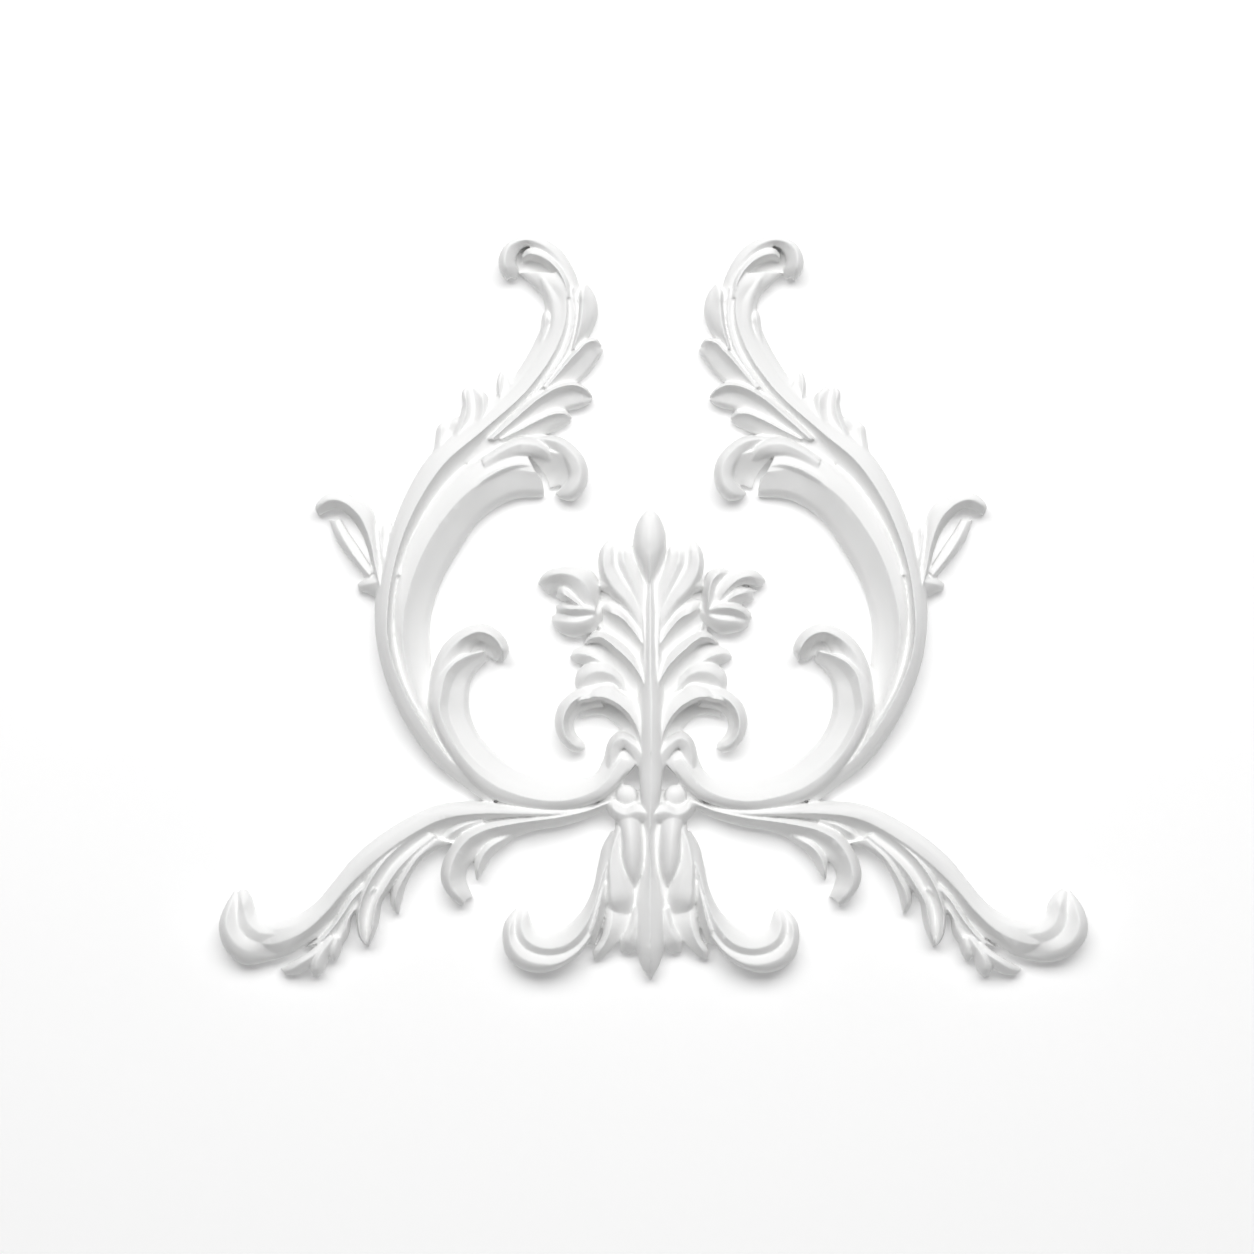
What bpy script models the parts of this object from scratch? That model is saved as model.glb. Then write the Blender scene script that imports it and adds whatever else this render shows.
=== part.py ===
"""Cast acanthus and palmette applique for a wall, one solid casting with a flat back.

The front faces -Y, the flat back lies on y = 0 and faces +Y, and Z is up. The origin is on the
back, behind the centre stem.
"""

import bpy
import numpy as np

# Driving sizes, in metres.
overall_width = 0.43
deepest_relief = 0.024
ball_radius = 0.0055

# The ornament is laid out on squared paper. Columns run to the right and rows run down. Each point
# of a rail is a column, a row and a height above the wall in millimetres.
squares_across = 860
square = overall_width / squares_across
centre_column = 651
origin_row = 745
deepest_laid_out = 17
height_unit = deepest_relief / deepest_laid_out

# How finely the leaves are lofted, and how the loft becomes one skin.
stations_per_leaf = 40
steps_between_rails = 4
behind_wall = 0.004
skin_cell = 0.0011
triangles_wanted = 8900


def smooth_curve(points, count):
    """Evenly spaced points along a smooth curve through the given ones."""
    points = np.array(points, float)
    chords = np.linalg.norm(np.diff(points[:, :2], axis=0), axis=1)
    reach = np.concatenate([[0.0], np.cumsum(chords)])
    slope = np.gradient(points, reach, axis=0)
    at = np.linspace(0.0, reach[-1], count)
    piece = np.clip(np.searchsorted(reach, at, side="right") - 1, 0, len(chords) - 1)
    span = chords[piece][:, None]
    t = (at[:, None] - reach[piece][:, None]) / span
    start, end = points[piece], points[piece + 1]
    return (
        start * (1 + 2 * t) * (1 - t) ** 2
        + end * t**2 * (3 - 2 * t)
        + slope[piece] * span * t * (1 - t) ** 2
        - slope[piece + 1] * span * t**2 * (1 - t)
    )


def between(low, high, share, swell):
    """The line part of the way from one rail to the next. A swell of 1 bows the section out like a
    quarter round, -1 hollows it like a cove, and 0 leaves it straight."""
    line = low + (high - low) * share
    quick = np.sqrt(1 - (1 - share) ** 2)
    slow = 1 - np.sqrt(1 - share**2)
    rising = high[:, 2] > low[:, 2]
    bowed = np.where(rising == (swell > 0), quick, slow)
    eased = share + (bowed - share) * abs(swell)
    line[:, 2] = low[:, 2] + (high[:, 2] - low[:, 2]) * eased
    return line


def leaf_skin(rails, swells):
    """A grid of points over a leaf, lofted from rail to rail."""
    lines = [smooth_curve(rail, stations_per_leaf) for rail in rails]
    grid = [lines[0]]
    for low, high, swell in zip(lines, lines[1:], swells):
        for step in range(1, steps_between_rails + 1):
            grid.append(between(low, high, step / steps_between_rails, swell))
    return np.array(grid)


def add_leaf(name, rails, swells, side):
    """A closed solid from the lofted skin back to behind the wall. Side is 1 as laid out on the left
    and -1 for its mirror image on the right."""
    grid = leaf_skin(rails, swells)
    across = (grid[..., 0] - centre_column) * square * side
    up = (origin_row - grid[..., 1]) * square
    out = -grid[..., 2] * height_unit
    front = np.stack([across, out, up], axis=-1).reshape(-1, 3)
    back = front.copy()
    back[:, 1] = behind_wall
    rows, columns = grid.shape[:2]
    index = np.arange(rows * columns).reshape(rows, columns)
    faces = []
    for row in range(rows - 1):
        for column in range(columns - 1):
            a, b = index[row, column], index[row, column + 1]
            c, d = index[row + 1, column + 1], index[row + 1, column]
            faces.append((a, b, c, d))
            faces.append(tuple(corner + rows * columns for corner in (d, c, b, a)))
    rim = np.concatenate([index[0, :-1], index[:-1, -1], index[-1, :0:-1], index[:0:-1, 0]])
    for a, b in zip(rim, np.roll(rim, -1)):
        faces.append((b, a, a + rows * columns, b + rows * columns))
    mesh = bpy.data.meshes.new(name)
    mesh.from_pydata(np.concatenate([front, back]).tolist(), [], [list(map(int, f)) for f in faces])
    leaf = bpy.data.objects.new(name, mesh)
    bpy.context.scene.collection.objects.link(leaf)
    return leaf


def add_ball(name, column, row, height, side):
    bpy.ops.mesh.primitive_uv_sphere_add(
        segments=20,
        ring_count=10,
        radius=ball_radius,
        location=(
            (column - centre_column) * square * side,
            -height * height_unit,
            (origin_row - row) * square,
        ),
    )
    bpy.context.object.name = name
    return bpy.context.object


for old in list(bpy.data.objects):
    bpy.data.objects.remove(old)

# Leaves and strands of the left half. Each entry is (rails, swells), with rails from one edge of the
# leaf to the other and one swell for each gap between two rails.
half = {}

half["branch"] = (
    [
        [(546, 289, 4), (545, 312, 4), (538, 335, 4), (520, 370, 4), (480, 412, 5), (427, 460, 5),
         (404, 500, 5), (388, 545, 5), (376, 600, 5), (377, 640, 5), (400, 712, 5), (430, 757, 5),
         (492, 804, 3)],
        [(563, 282, 12), (567, 308, 12), (559, 350, 12), (530, 393, 13), (480, 437, 14),
         (447, 464, 15), (422, 500, 15), (404, 540, 15), (392, 590, 15), (390, 640, 15),
         (415, 707, 13), (440, 745, 11), (492, 800, 4)],
        [(574, 278, 8), (578, 308, 8), (568, 350, 8), (545, 384, 8), (490, 450, 8), (450, 488, 8),
         (428, 516, 8), (410, 544, 8), (398, 592, 9), (400, 645, 9), (420, 712, 9), (444, 747, 8),
         (493, 801, 3)],
    ],
    (0.9, -0.4),
)
half["cove_band"] = (
    [
        [(520, 441, 8), (500, 448, 8), (470, 468, 8), (433, 509, 8), (403, 563, 8), (398, 600, 9),
         (400, 645, 9), (420, 712, 8), (430, 728, 6)],
        [(530, 470, 13), (500, 476, 13), (465, 499, 14), (430, 540, 14), (411, 585, 14),
         (405, 620, 13), (406, 655, 12), (417, 697, 11), (432, 730, 6)],
        [(538, 485, 5), (510, 487, 5), (472, 510, 5), (444, 550, 5), (426, 588, 5), (416, 620, 6),
         (416, 655, 6), (424, 700, 7), (434, 730, 5)],
        [(543, 491, 7), (515, 495, 7), (482, 512, 7), (454, 549, 7), (434, 590, 7), (427, 618, 7),
         (426, 655, 7), (430, 700, 6), (436, 730, 5)],
        [(543, 496, 3), (515, 499, 3), (483, 515, 3), (456, 551, 3), (437, 590, 3), (430, 620, 3),
         (430, 655, 3), (434, 700, 3), (440, 730, 3)],
    ],
    (0.8, -0.8, -0.5, 0.5),
)
half["cove_band_upper_lobe"] = (
    [
        [(552, 459, 6), (551, 452, 6), (541, 441, 7), (525, 438, 7), (505, 445, 8), (485, 456, 8)],
        [(549, 459, 9), (545, 452, 12), (535, 448, 13), (520, 449, 13), (503, 456, 13),
         (487, 467, 13)],
        [(545, 461, 5), (538, 459, 6), (528, 459, 7), (515, 461, 8), (502, 465, 10), (490, 471, 12)],
    ],
    (0.9, 0.8),
)
half["end_curl"] = (
    [
        [(530, 438, 6), (545, 436, 5), (558, 438, 5), (573, 448, 5), (584, 461, 5), (587, 475, 5),
         (583, 491, 5), (571, 501, 4), (557, 497, 3)],
        [(535, 441, 9), (548, 442, 11), (560, 449, 12), (571, 458, 12), (577, 469, 12),
         (576, 480, 11), (567, 489, 10), (558, 495, 5)],
        [(540, 445, 6), (550, 450, 5), (556, 458, 4), (561, 466, 4), (566, 472, 3), (567, 478, 3),
         (563, 486, 3), (557, 494, 3)],
    ],
    (0.9, -0.6),
)
half["top_curl_outer"] = (
    [
        [(584, 310, 5), (580, 284, 5), (568, 260, 5), (550, 245, 5), (530, 237, 5), (512, 242, 5),
         (501, 254, 5), (499, 268, 4), (506, 282, 3)],
        [(573, 310, 10), (568, 288, 11), (557, 268, 12), (542, 253, 13), (527, 245, 13),
         (514, 249, 13), (508, 258, 12), (508, 268, 10), (512, 279, 5)],
        [(567, 310, 9), (560, 290, 9), (549, 272, 9), (538, 259, 9), (529, 254, 6), (524, 257, 3),
         (523, 263, 3), (520, 270, 3), (517, 279, 3)],
    ],
    (0.9, 0.5),
)
half["top_curl_rim"] = (
    [
        [(573, 320, 8), (570, 292, 9), (558, 266, 10), (544, 254, 10), (532, 250, 9), (523, 254, 6)],
        [(567, 320, 12), (566, 294, 12), (555, 268, 13), (544, 259, 13), (533, 257, 12),
         (523, 261, 9)],
        [(558, 320, 6), (556, 298, 5), (549, 278, 4), (541, 268, 3), (531, 264, 3), (519, 266, 3)],
        [(546, 320, 4), (550, 302, 3), (544, 286, 3), (538, 278, 3), (530, 274, 3), (516, 273, 3)],
    ],
    (0.6, -0.9, 0.0),
)
half["top_outer_lobe"] = (
    [
        [(572, 345, 7), (578, 320, 7), (578, 300, 7), (580, 286, 6), (585, 282, 5)],
        [(574, 344, 11), (582, 320, 12), (583, 300, 12), (584, 289, 10), (586, 284, 7)],
        [(583, 342, 5), (595, 328, 4), (598, 310, 4), (593, 293, 4), (588, 284, 4)],
    ],
    (0.6, 0.2),
)
half["lobe_a"] = (
    [
        [(545, 388, 8), (565, 360, 7), (583, 341, 7), (592, 339, 6), (599, 343, 5)],
        [(548, 390, 12), (570, 362, 12), (588, 344, 11), (595, 343, 9), (600, 346, 5)],
        [(554, 393, 4), (577, 379, 4), (592, 363, 4), (599, 355, 4), (601, 349, 4)],
    ],
    (0.6, -0.4),
)
half["lobe_b"] = (
    [
        [(493, 434, 9), (520, 411, 9), (545, 391, 8), (560, 384, 7), (580, 385, 6), (592, 395, 4)],
        [(497, 437, 13), (520, 418, 13), (545, 396, 13), (560, 388, 12), (577, 388, 11),
         (590, 396, 6)],
        [(500, 440, 9), (525, 424, 7), (547, 409, 5), (562, 401, 4), (577, 398, 4), (589, 399, 4)],
        [(503, 443, 6), (525, 433, 4), (550, 420, 4), (567, 413, 4), (582, 408, 4), (591, 400, 3)],
    ],
    (0.6, -0.6, 0.3),
)
half["lobe_c"] = (
    [
        [(500, 438, 9), (530, 423, 8), (550, 415, 6), (563, 412, 5), (571, 418, 4)],
        [(502, 440, 11), (530, 426, 11), (550, 419, 10), (562, 417, 9), (569, 421, 5)],
        [(505, 445, 6), (530, 436, 4), (550, 433, 4), (562, 429, 4), (569, 424, 4)],
    ],
    (0.5, 0.0),
)
half["bract_d"] = (
    [
        [(496, 412, 6), (497, 395, 5), (498, 380, 4), (501, 371, 4)],
        [(502, 410, 9), (506, 394, 10), (508, 382, 9), (504, 373, 5)],
        [(507, 413, 6), (514, 397, 4), (516, 386, 4), (507, 373, 4)],
    ],
    (0.3, 0.7),
)
half["bract_e"] = (
    [
        [(440, 466, 6), (455, 430, 5), (463, 405, 5), (463, 391, 4), (468, 386, 4)],
        [(447, 464, 12), (467, 436, 12), (478, 412, 12), (478, 396, 11), (471, 388, 6)],
        [(452, 464, 9), (478, 433, 6), (491, 411, 5), (487, 396, 4), (476, 387, 4)],
    ],
    (-0.2, 0.6),
)
half["bract_f"] = (
    [
        [(425, 463, 5), (434, 450, 4), (436, 438, 4), (438, 427, 4), (444, 421, 3)],
        [(436, 464, 10), (445, 448, 10), (448, 436, 9), (448, 426, 7), (448, 422, 4)],
        [(447, 462, 9), (457, 445, 8), (461, 430, 7), (460, 417, 5), (454, 420, 4)],
    ],
    (0.8, 0.2),
)
half["side_leaf"] = (
    [
        [(386, 590, 6), (380, 550, 5), (374, 513, 5), (364, 501, 5), (345, 492, 5), (326, 494, 5),
         (316, 508, 4), (322, 520, 3)],
        [(381, 590, 11), (373, 552, 11), (364, 528, 11), (353, 513, 11), (341, 503, 11),
         (330, 503, 10), (324, 510, 8), (325, 517, 5)],
        [(374, 588, 7), (366, 556, 4), (358, 537, 4), (349, 526, 4), (341, 519, 4), (335, 516, 4),
         (331, 517, 4), (328, 519, 3)],
        [(368, 586, 5), (357, 562, 4), (351, 545, 4), (345, 534, 3), (338, 527, 3), (333, 522, 3),
         (331, 521, 3), (329, 521, 3)],
    ],
    (0.8, -0.7, 0.5),
)
half["side_leaf_spur"] = (
    [
        [(375, 594, 5), (360, 572, 4), (350, 556, 4), (345, 547, 3)],
        [(378, 580, 9), (367, 563, 8), (357, 551, 7), (348, 545, 4)],
        [(381, 565, 7), (370, 550, 6), (360, 543, 5), (350, 540, 3)],
    ],
    (0.6, 0.2),
)
half["side_leaf_second"] = (
    [
        [(381, 575, 7), (379, 550, 6), (377, 530, 5), (379, 522, 4)],
        [(388, 575, 11), (384, 550, 10), (382, 532, 9), (383, 523, 5)],
        [(396, 575, 12), (394, 550, 7), (392, 535, 5), (392, 522, 4)],
    ],
    (0.7, -0.3),
)
half["comma_scroll"] = (
    [
        [(468, 638, 8), (452, 648, 6), (438, 658, 5), (430, 672, 5), (428, 700, 5), (435, 728, 5),
         (455, 763, 5), (485, 794, 4), (520, 808, 4), (560, 811, 4), (600, 800, 4), (637, 764, 5)],
        [(480, 650, 11), (462, 655, 11), (449, 669, 11), (443, 690, 11), (441, 705, 11),
         (450, 731, 11), (470, 762, 11), (500, 786, 11), (530, 796, 11), (565, 798, 11),
         (600, 785, 11), (622, 757, 11)],
        [(484, 657, 4), (470, 664, 4), (460, 676, 4), (456, 692, 4), (456, 708, 5), (463, 729, 5),
         (480, 752, 6), (505, 771, 7), (533, 782, 7), (562, 785, 7), (590, 778, 7), (612, 752, 8)],
        [(486, 663, 3), (476, 671, 3), (471, 682, 3), (469, 697, 3), (470, 712, 3), (477, 731, 3),
         (495, 752, 3), (515, 767, 3), (540, 776, 3), (565, 778, 3), (595, 773, 3), (607, 750, 4)],
    ],
    (0.5, -0.8, 0.6),
)
half["comma_ring"] = (
    [
        [(440, 650, 6), (455, 633, 5), (480, 623, 5), (498, 630, 5), (509, 648, 5), (504, 662, 3)],
        [(452, 648, 10), (464, 637, 11), (480, 631, 11), (493, 637, 11), (501, 648, 11),
         (500, 660, 6)],
        [(462, 650, 9), (468, 640, 8), (480, 638, 5), (488, 641, 4), (493, 649, 3), (493, 657, 3)],
    ],
    (0.7, 0.5),
)
half["scroll_link"] = (
    [
        [(607, 762, 5), (608, 745, 5), (613, 735, 5), (622, 731, 5), (634, 738, 7), (645, 750, 9)],
        [(613, 762, 9), (613, 748, 10), (617, 740, 11), (625, 738, 12), (634, 746, 12),
         (645, 758, 12)],
        [(622, 764, 9), (621, 755, 10), (623, 749, 10), (628, 750, 10), (634, 758, 9),
         (642, 768, 8)],
    ],
    (0.8, 0.0),
)
half["palmette_lobe_two"] = (
    [
        [(641, 650, 9), (622, 606, 7), (603, 578, 5), (599, 560, 5), (603, 545, 5), (609, 540, 4)],
        [(643, 645, 13), (628, 601, 14), (613, 576, 14), (606, 557, 13), (608, 546, 9),
         (611, 541, 5)],
        [(645, 640, 9), (636, 597, 8), (624, 575, 7), (619, 560, 6), (619, 548, 5), (614, 541, 4)],
    ],
    (0.8, 0.2),
)
half["palmette_lobe_one"] = (
    [
        [(643, 640, 8), (632, 594, 8), (623, 572, 6), (619, 556, 5), (621, 548, 4)],
        [(646, 630, 12), (639, 594, 12), (629, 572, 11), (625, 556, 9), (625, 550, 5)],
        [(648, 620, 9), (648, 597, 9), (638, 578, 6), (631, 560, 5), (630, 549, 4)],
    ],
    (0.6, 0.2),
)
half["rose_body"] = (
    [
        [(606, 592, 8), (596, 594, 10), (584, 596, 11), (570, 598, 10), (560, 600, 8), (552, 604, 5)],
        [(604, 604, 9), (595, 610, 13), (584, 613, 15), (570, 613, 14), (561, 611, 11),
         (554, 610, 6)],
        [(602, 624, 4), (592, 631, 4), (578, 636, 4), (564, 634, 4), (556, 627, 4), (552, 616, 4)],
    ],
    (0.2, 0.8),
)
half["rose_upper_petal"] = (
    [
        [(603, 588, 6), (595, 574, 5), (578, 569, 5), (562, 568, 5), (548, 571, 5), (539, 580, 4)],
        [(598, 600, 11), (585, 587, 15), (571, 579, 15), (559, 576, 14), (549, 578, 12),
         (541, 583, 7)],
        [(590, 606, 9), (579, 596, 9), (570, 588, 9), (561, 584, 8), (553, 587, 5), (545, 588, 4)],
    ],
    (0.8, 0.5),
)
half["rose_middle_petal"] = (
    [
        [(588, 606, 9), (579, 597, 9), (570, 589, 9), (562, 586, 8), (555, 591, 5)],
        [(588, 608, 12), (578, 602, 15), (569, 596, 15), (561, 592, 13), (556, 593, 7)],
        [(586, 609, 8), (577, 606, 7), (567, 603, 6), (560, 599, 5), (556, 596, 4)],
    ],
    (0.7, -0.4),
)
half["rose_lower_petal"] = (
    [
        [(592, 606, 9), (580, 606, 8), (568, 605, 8), (559, 603, 7), (554, 606, 5)],
        [(592, 610, 13), (580, 610, 16), (568, 610, 15), (560, 608, 11), (555, 609, 7)],
        [(592, 616, 11), (580, 618, 12), (568, 618, 11), (560, 615, 8), (554, 612, 5)],
    ],
    (0.5, 0.4),
)
half["palmette_lobe_three"] = (
    [
        [(646, 655, 9), (637, 630, 8), (622, 608, 7), (608, 598, 6), (598, 600, 5)],
        [(645, 664, 13), (633, 638, 12), (620, 618, 12), (610, 613, 9), (600, 608, 5)],
        [(643, 680, 8), (628, 650, 6), (615, 632, 5), (606, 622, 4), (598, 616, 4)],
    ],
    (0.4, 0.0),
)
half["turned_leaf"] = (
    [
        [(646, 700, 9), (640, 672, 9), (628, 650, 9), (612, 638, 8), (596, 634, 6), (584, 642, 5)],
        [(645, 705, 12), (634, 675, 14), (624, 659, 15), (610, 645, 14), (596, 639, 12),
         (586, 644, 7)],
        [(643, 712, 8), (630, 690, 7), (616, 672, 6), (600, 663, 6), (585, 661, 6), (573, 659, 4)],
    ],
    (0.5, -0.5),
)
half["palmette_volute"] = (
    [
        [(646, 730, 9), (638, 702, 9), (622, 682, 8), (605, 670, 7), (585, 666, 5), (578, 682, 5),
         (563, 697, 5), (556, 718, 5), (561, 738, 5), (573, 748, 4), (585, 748, 3)],
        [(640, 745, 12), (634, 731, 13), (625, 713, 15), (612, 702, 15), (600, 698, 15),
         (585, 698, 14), (571, 705, 12), (566, 718, 12), (569, 733, 11), (575, 741, 10),
         (584, 746, 5)],
        [(632, 746, 4), (625, 733, 4), (618, 720, 4), (607, 713, 4), (595, 712, 4), (584, 713, 4),
         (578, 717, 4), (577, 723, 4), (577, 731, 4), (579, 737, 4), (584, 743, 3)],
    ],
    (0.6, -0.7),
)
half["acanthus_band"] = (
    [
        [(600, 802, 5), (560, 810, 6), (520, 807, 6), (485, 801, 5), (440, 804, 5), (395, 825, 5),
         (355, 856, 5), (318, 900, 5), (285, 918, 5), (262, 918, 5), (253, 905, 5), (250, 892, 4)],
        [(600, 806, 9), (560, 813, 11), (520, 813, 12), (480, 812, 13), (440, 817, 13),
         (400, 836, 13), (365, 862, 12), (335, 903, 12), (300, 936, 12), (270, 949, 12),
         (247, 940, 11), (238, 920, 8), (240, 898, 6)],
        [(600, 810, 5), (560, 816, 6), (520, 818, 7), (480, 825, 7), (440, 840, 6), (405, 856, 6),
         (375, 878, 6), (340, 918, 4), (305, 948, 3), (280, 961, 3), (245, 964, 3), (225, 945, 3),
         (221, 925, 3), (232, 894, 3)],
    ],
    (0.7, -0.2),
)
half["acanthus_band_tip"] = (
    [
        [(262, 919, 6), (255, 910, 5), (252, 896, 4), (245, 889, 3)],
        [(258, 930, 9), (245, 918, 9), (243, 903, 8), (240, 893, 5)],
        [(240, 945, 5), (226, 930, 4), (228, 905, 4), (236, 891, 3)],
    ],
    (0.7, 0.5),
)
half["lower_stem"] = (
    [
        [(610, 797, 6), (575, 810, 6), (530, 817, 7), (495, 819, 7), (465, 829, 7), (452, 848, 6),
         (447, 868, 4)],
        [(611, 803, 9), (575, 815, 10), (530, 821, 12), (495, 827, 13), (470, 839, 13),
         (458, 856, 12), (452, 878, 10)],
        [(612, 806, 6), (575, 819, 6), (535, 827, 6), (500, 836, 6), (482, 848, 6), (472, 864, 5),
         (466, 884, 4)],
        [(611, 809, 3), (575, 822, 3), (540, 830, 3), (507, 840, 3), (492, 852, 3), (486, 866, 3),
         (479, 879, 3)],
    ],
    (0.6, -0.3, 0.3),
)
half["lower_stem_tip"] = (
    [
        [(449, 852, 6), (442, 868, 4), (445, 885, 4), (453, 898, 3), (464, 906, 3), (471, 902, 3)],
        [(456, 855, 11), (452, 872, 10), (453, 884, 9), (459, 893, 8), (465, 898, 6), (470, 900, 4)],
        [(468, 855, 6), (466, 872, 4), (466, 882, 4), (467, 889, 4), (469, 894, 3), (473, 897, 3)],
    ],
    (0.5, 0.2),
)
half["leaf_five"] = (
    [
        [(420, 822, 8), (390, 843, 7), (368, 870, 5), (357, 895, 4), (354, 918, 4), (359, 936, 4),
         (367, 945, 3)],
        [(425, 829, 13), (400, 845, 13), (380, 870, 12), (366, 897, 11), (361, 918, 9),
         (362, 933, 7), (367, 942, 4)],
        [(440, 838, 7), (412, 855, 6), (394, 880, 5), (384, 903, 4), (380, 920, 4), (375, 934, 4),
         (369, 944, 3)],
    ],
    (0.5, -0.2),
)
half["leaf_six"] = (
    [
        [(425, 835, 9), (400, 858, 7), (387, 880, 5), (386, 900, 4), (393, 911, 3)],
        [(438, 838, 9), (412, 860, 8), (398, 882, 7), (395, 900, 6), (397, 910, 4)],
        [(460, 838, 3), (435, 851, 3), (412, 868, 3), (402, 893, 3), (399, 914, 3)],
    ],
    (0.2, 0.6),
)
half["leaf_four"] = (
    [
        [(378, 868, 7), (356, 885, 5), (343, 908, 4), (325, 930, 4), (306, 944, 3)],
        [(378, 875, 8), (358, 895, 8), (348, 915, 8), (338, 932, 7), (330, 943, 5)],
        [(380, 885, 6), (360, 905, 5), (351, 925, 4), (347, 938, 4), (333, 947, 3)],
    ],
    (0.2, 0.4),
)
half["leaf_three"] = (
    [
        [(335, 925, 6), (315, 940, 5), (296, 955, 4), (281, 968, 3)],
        [(338, 932, 8), (322, 946, 7), (305, 958, 6), (286, 968, 4)],
        [(345, 940, 5), (333, 956, 4), (326, 971, 4), (316, 976, 3)],
    ],
    (0.3, 0.5),
)
half["tulip_scroll"] = (
    [
        [(612, 824, 6), (603, 840, 5), (599, 865, 5), (595, 890, 5), (580, 917, 5), (558, 930, 5),
         (537, 929, 5), (529, 918, 4), (527, 909, 4)],
        [(622, 835, 12), (611, 860, 12), (605, 890, 12), (590, 922, 12), (570, 946, 12),
         (545, 955, 11), (524, 948, 10), (513, 932, 9), (518, 915, 6)],
        [(628, 845, 8), (617, 870, 7), (611, 900, 6), (598, 930, 4), (575, 957, 3), (545, 971, 3),
         (515, 965, 3), (503, 942, 3), (506, 920, 3), (520, 908, 3)],
    ],
    (0.7, -0.1),
)
half["tulip_petal"] = (
    [
        [(612, 838, 8), (606, 870, 7), (602, 905, 6), (592, 925, 4), (592, 945, 4), (598, 957, 3)],
        [(622, 838, 13), (618, 870, 13), (618, 900, 12), (612, 920, 9), (606, 938, 7),
         (600, 953, 4)],
        [(638, 840, 9), (633, 880, 8), (634, 905, 7), (630, 925, 4), (618, 945, 4), (604, 957, 3)],
    ],
    (0.6, 0.6),
)
half["tulip_bulb"] = (
    [
        [(618, 815, 8), (620, 840, 9), (622, 862, 9), (632, 883, 7)],
        [(630, 812, 14), (631, 840, 16), (632, 862, 14), (633, 882, 9)],
        [(643, 812, 8), (644, 840, 7), (642, 865, 7), (635, 883, 7)],
    ],
    (0.8, 0.8),
)
half["calyx"] = (
    [
        [(652, 800, 8), (640, 800, 7), (627, 805, 6), (614, 800, 5), (609, 800, 4)],
        [(652, 812, 13), (640, 811, 13), (627, 813, 13), (614, 810, 11), (609, 806, 5)],
        [(652, 822, 8), (640, 820, 8), (627, 824, 8), (615, 820, 5), (609, 812, 4)],
    ],
    (0.8, 0.5),
)
half["centre_side_tip"] = (
    [
        [(638, 890, 8), (634, 915, 6), (629, 930, 4), (624, 946, 3)],
        [(644, 895, 9), (640, 920, 9), (635, 935, 8), (629, 950, 4)],
        [(650, 900, 9), (646, 925, 8), (640, 945, 5), (634, 953, 3)],
    ],
    (0.5, 0.5),
)

# Thin webs that close the crevices between neighbouring leaves.
half["web_upper_lobes"] = (
    [
        [(484, 446, 4), (520, 420, 4), (548, 388, 4), (572, 350, 4), (577, 325, 4)],
        [(512, 456, 4), (538, 438, 4), (562, 398, 4), (582, 366, 4), (588, 335, 4)],
    ],
    (0.0,),
)
half["web_palmette"] = (
    [
        [(630, 549, 3), (600, 590, 3), (592, 620, 3), (592, 660, 3), (606, 700, 3)],
        [(653, 549, 3), (653, 590, 3), (653, 620, 3), (653, 660, 3), (653, 700, 3)],
    ],
    (0.0,),
)
half["web_stem"] = (
    [
        [(616, 738, 3), (618, 765, 3), (612, 800, 3), (614, 850, 3), (628, 915, 3)],
        [(653, 738, 3), (653, 765, 3), (653, 800, 3), (653, 850, 3), (653, 915, 3)],
    ],
    (0.0,),
)

# Leaves and strands on the line of symmetry.
middle = {}

middle["bud"] = (
    [
        [(648, 590, 8), (638, 566, 6), (633, 545, 5), (636, 526, 5), (650, 508, 4)],
        [(650, 590, 14), (650, 566, 15), (650, 545, 16), (650, 526, 13), (650, 510, 5)],
        [(653, 590, 8), (663, 566, 6), (668, 545, 5), (664, 526, 5), (651, 508, 4)],
    ],
    (0.7, 0.7),
)
middle["stem"] = (
    [
        [(644, 585, 8), (642, 640, 10), (638, 700, 10), (638, 750, 9), (641, 790, 6), (645, 830, 6)],
        [(651, 585, 13), (651, 640, 16), (651, 700, 17), (651, 750, 17), (651, 790, 16),
         (651, 830, 13)],
        [(658, 585, 8), (660, 640, 10), (664, 700, 10), (664, 750, 9), (661, 790, 6), (657, 830, 6)],
    ],
    (0.6, 0.6),
)
middle["centre_leaf"] = (
    [
        [(644, 815, 8), (643, 860, 7), (637, 900, 6), (636, 935, 5), (638, 957, 4), (650, 978, 3)],
        [(651, 815, 14), (651, 860, 13), (651, 900, 12), (651, 935, 11), (651, 957, 9),
         (651, 976, 4)],
        [(658, 815, 8), (659, 860, 7), (665, 900, 6), (666, 935, 5), (664, 957, 4), (652, 978, 3)],
    ],
    (0.4, 0.4),
)

pieces = []
for name, (rails, swells) in half.items():
    pieces.append(add_leaf(name + "_left", rails, swells, 1))
    pieces.append(add_leaf(name + "_right", rails, swells, -1))
for name, (rails, swells) in middle.items():
    pieces.append(add_leaf(name, rails, swells, 1))
for side in (1, -1):
    pieces.append(add_ball("ball", 627, 795, 7, side))

# One casting: the overlapping leaves become a single closed skin.
bpy.ops.object.select_all(action="DESELECT")
for piece in pieces:
    piece.select_set(True)
bpy.context.view_layer.objects.active = pieces[0]
bpy.ops.object.join()
applique = bpy.context.object
applique.name = "acanthus_applique"
applique.data.name = "acanthus_applique"

skin = applique.modifiers.new("one skin", "REMESH")
skin.mode = "VOXEL"
skin.voxel_size = skin_cell
bpy.ops.object.modifier_apply(modifier=skin.name)
eased = applique.modifiers.new("cast softness", "SMOOTH")
eased.factor = 0.5
eased.iterations = 2
bpy.ops.object.modifier_apply(modifier=eased.name)
faceted = applique.modifiers.new("facets", "DECIMATE")
faceted.ratio = triangles_wanted / (2 * len(applique.data.polygons))
bpy.ops.object.modifier_apply(modifier=faceted.name)
bpy.ops.object.shade_smooth()

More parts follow.
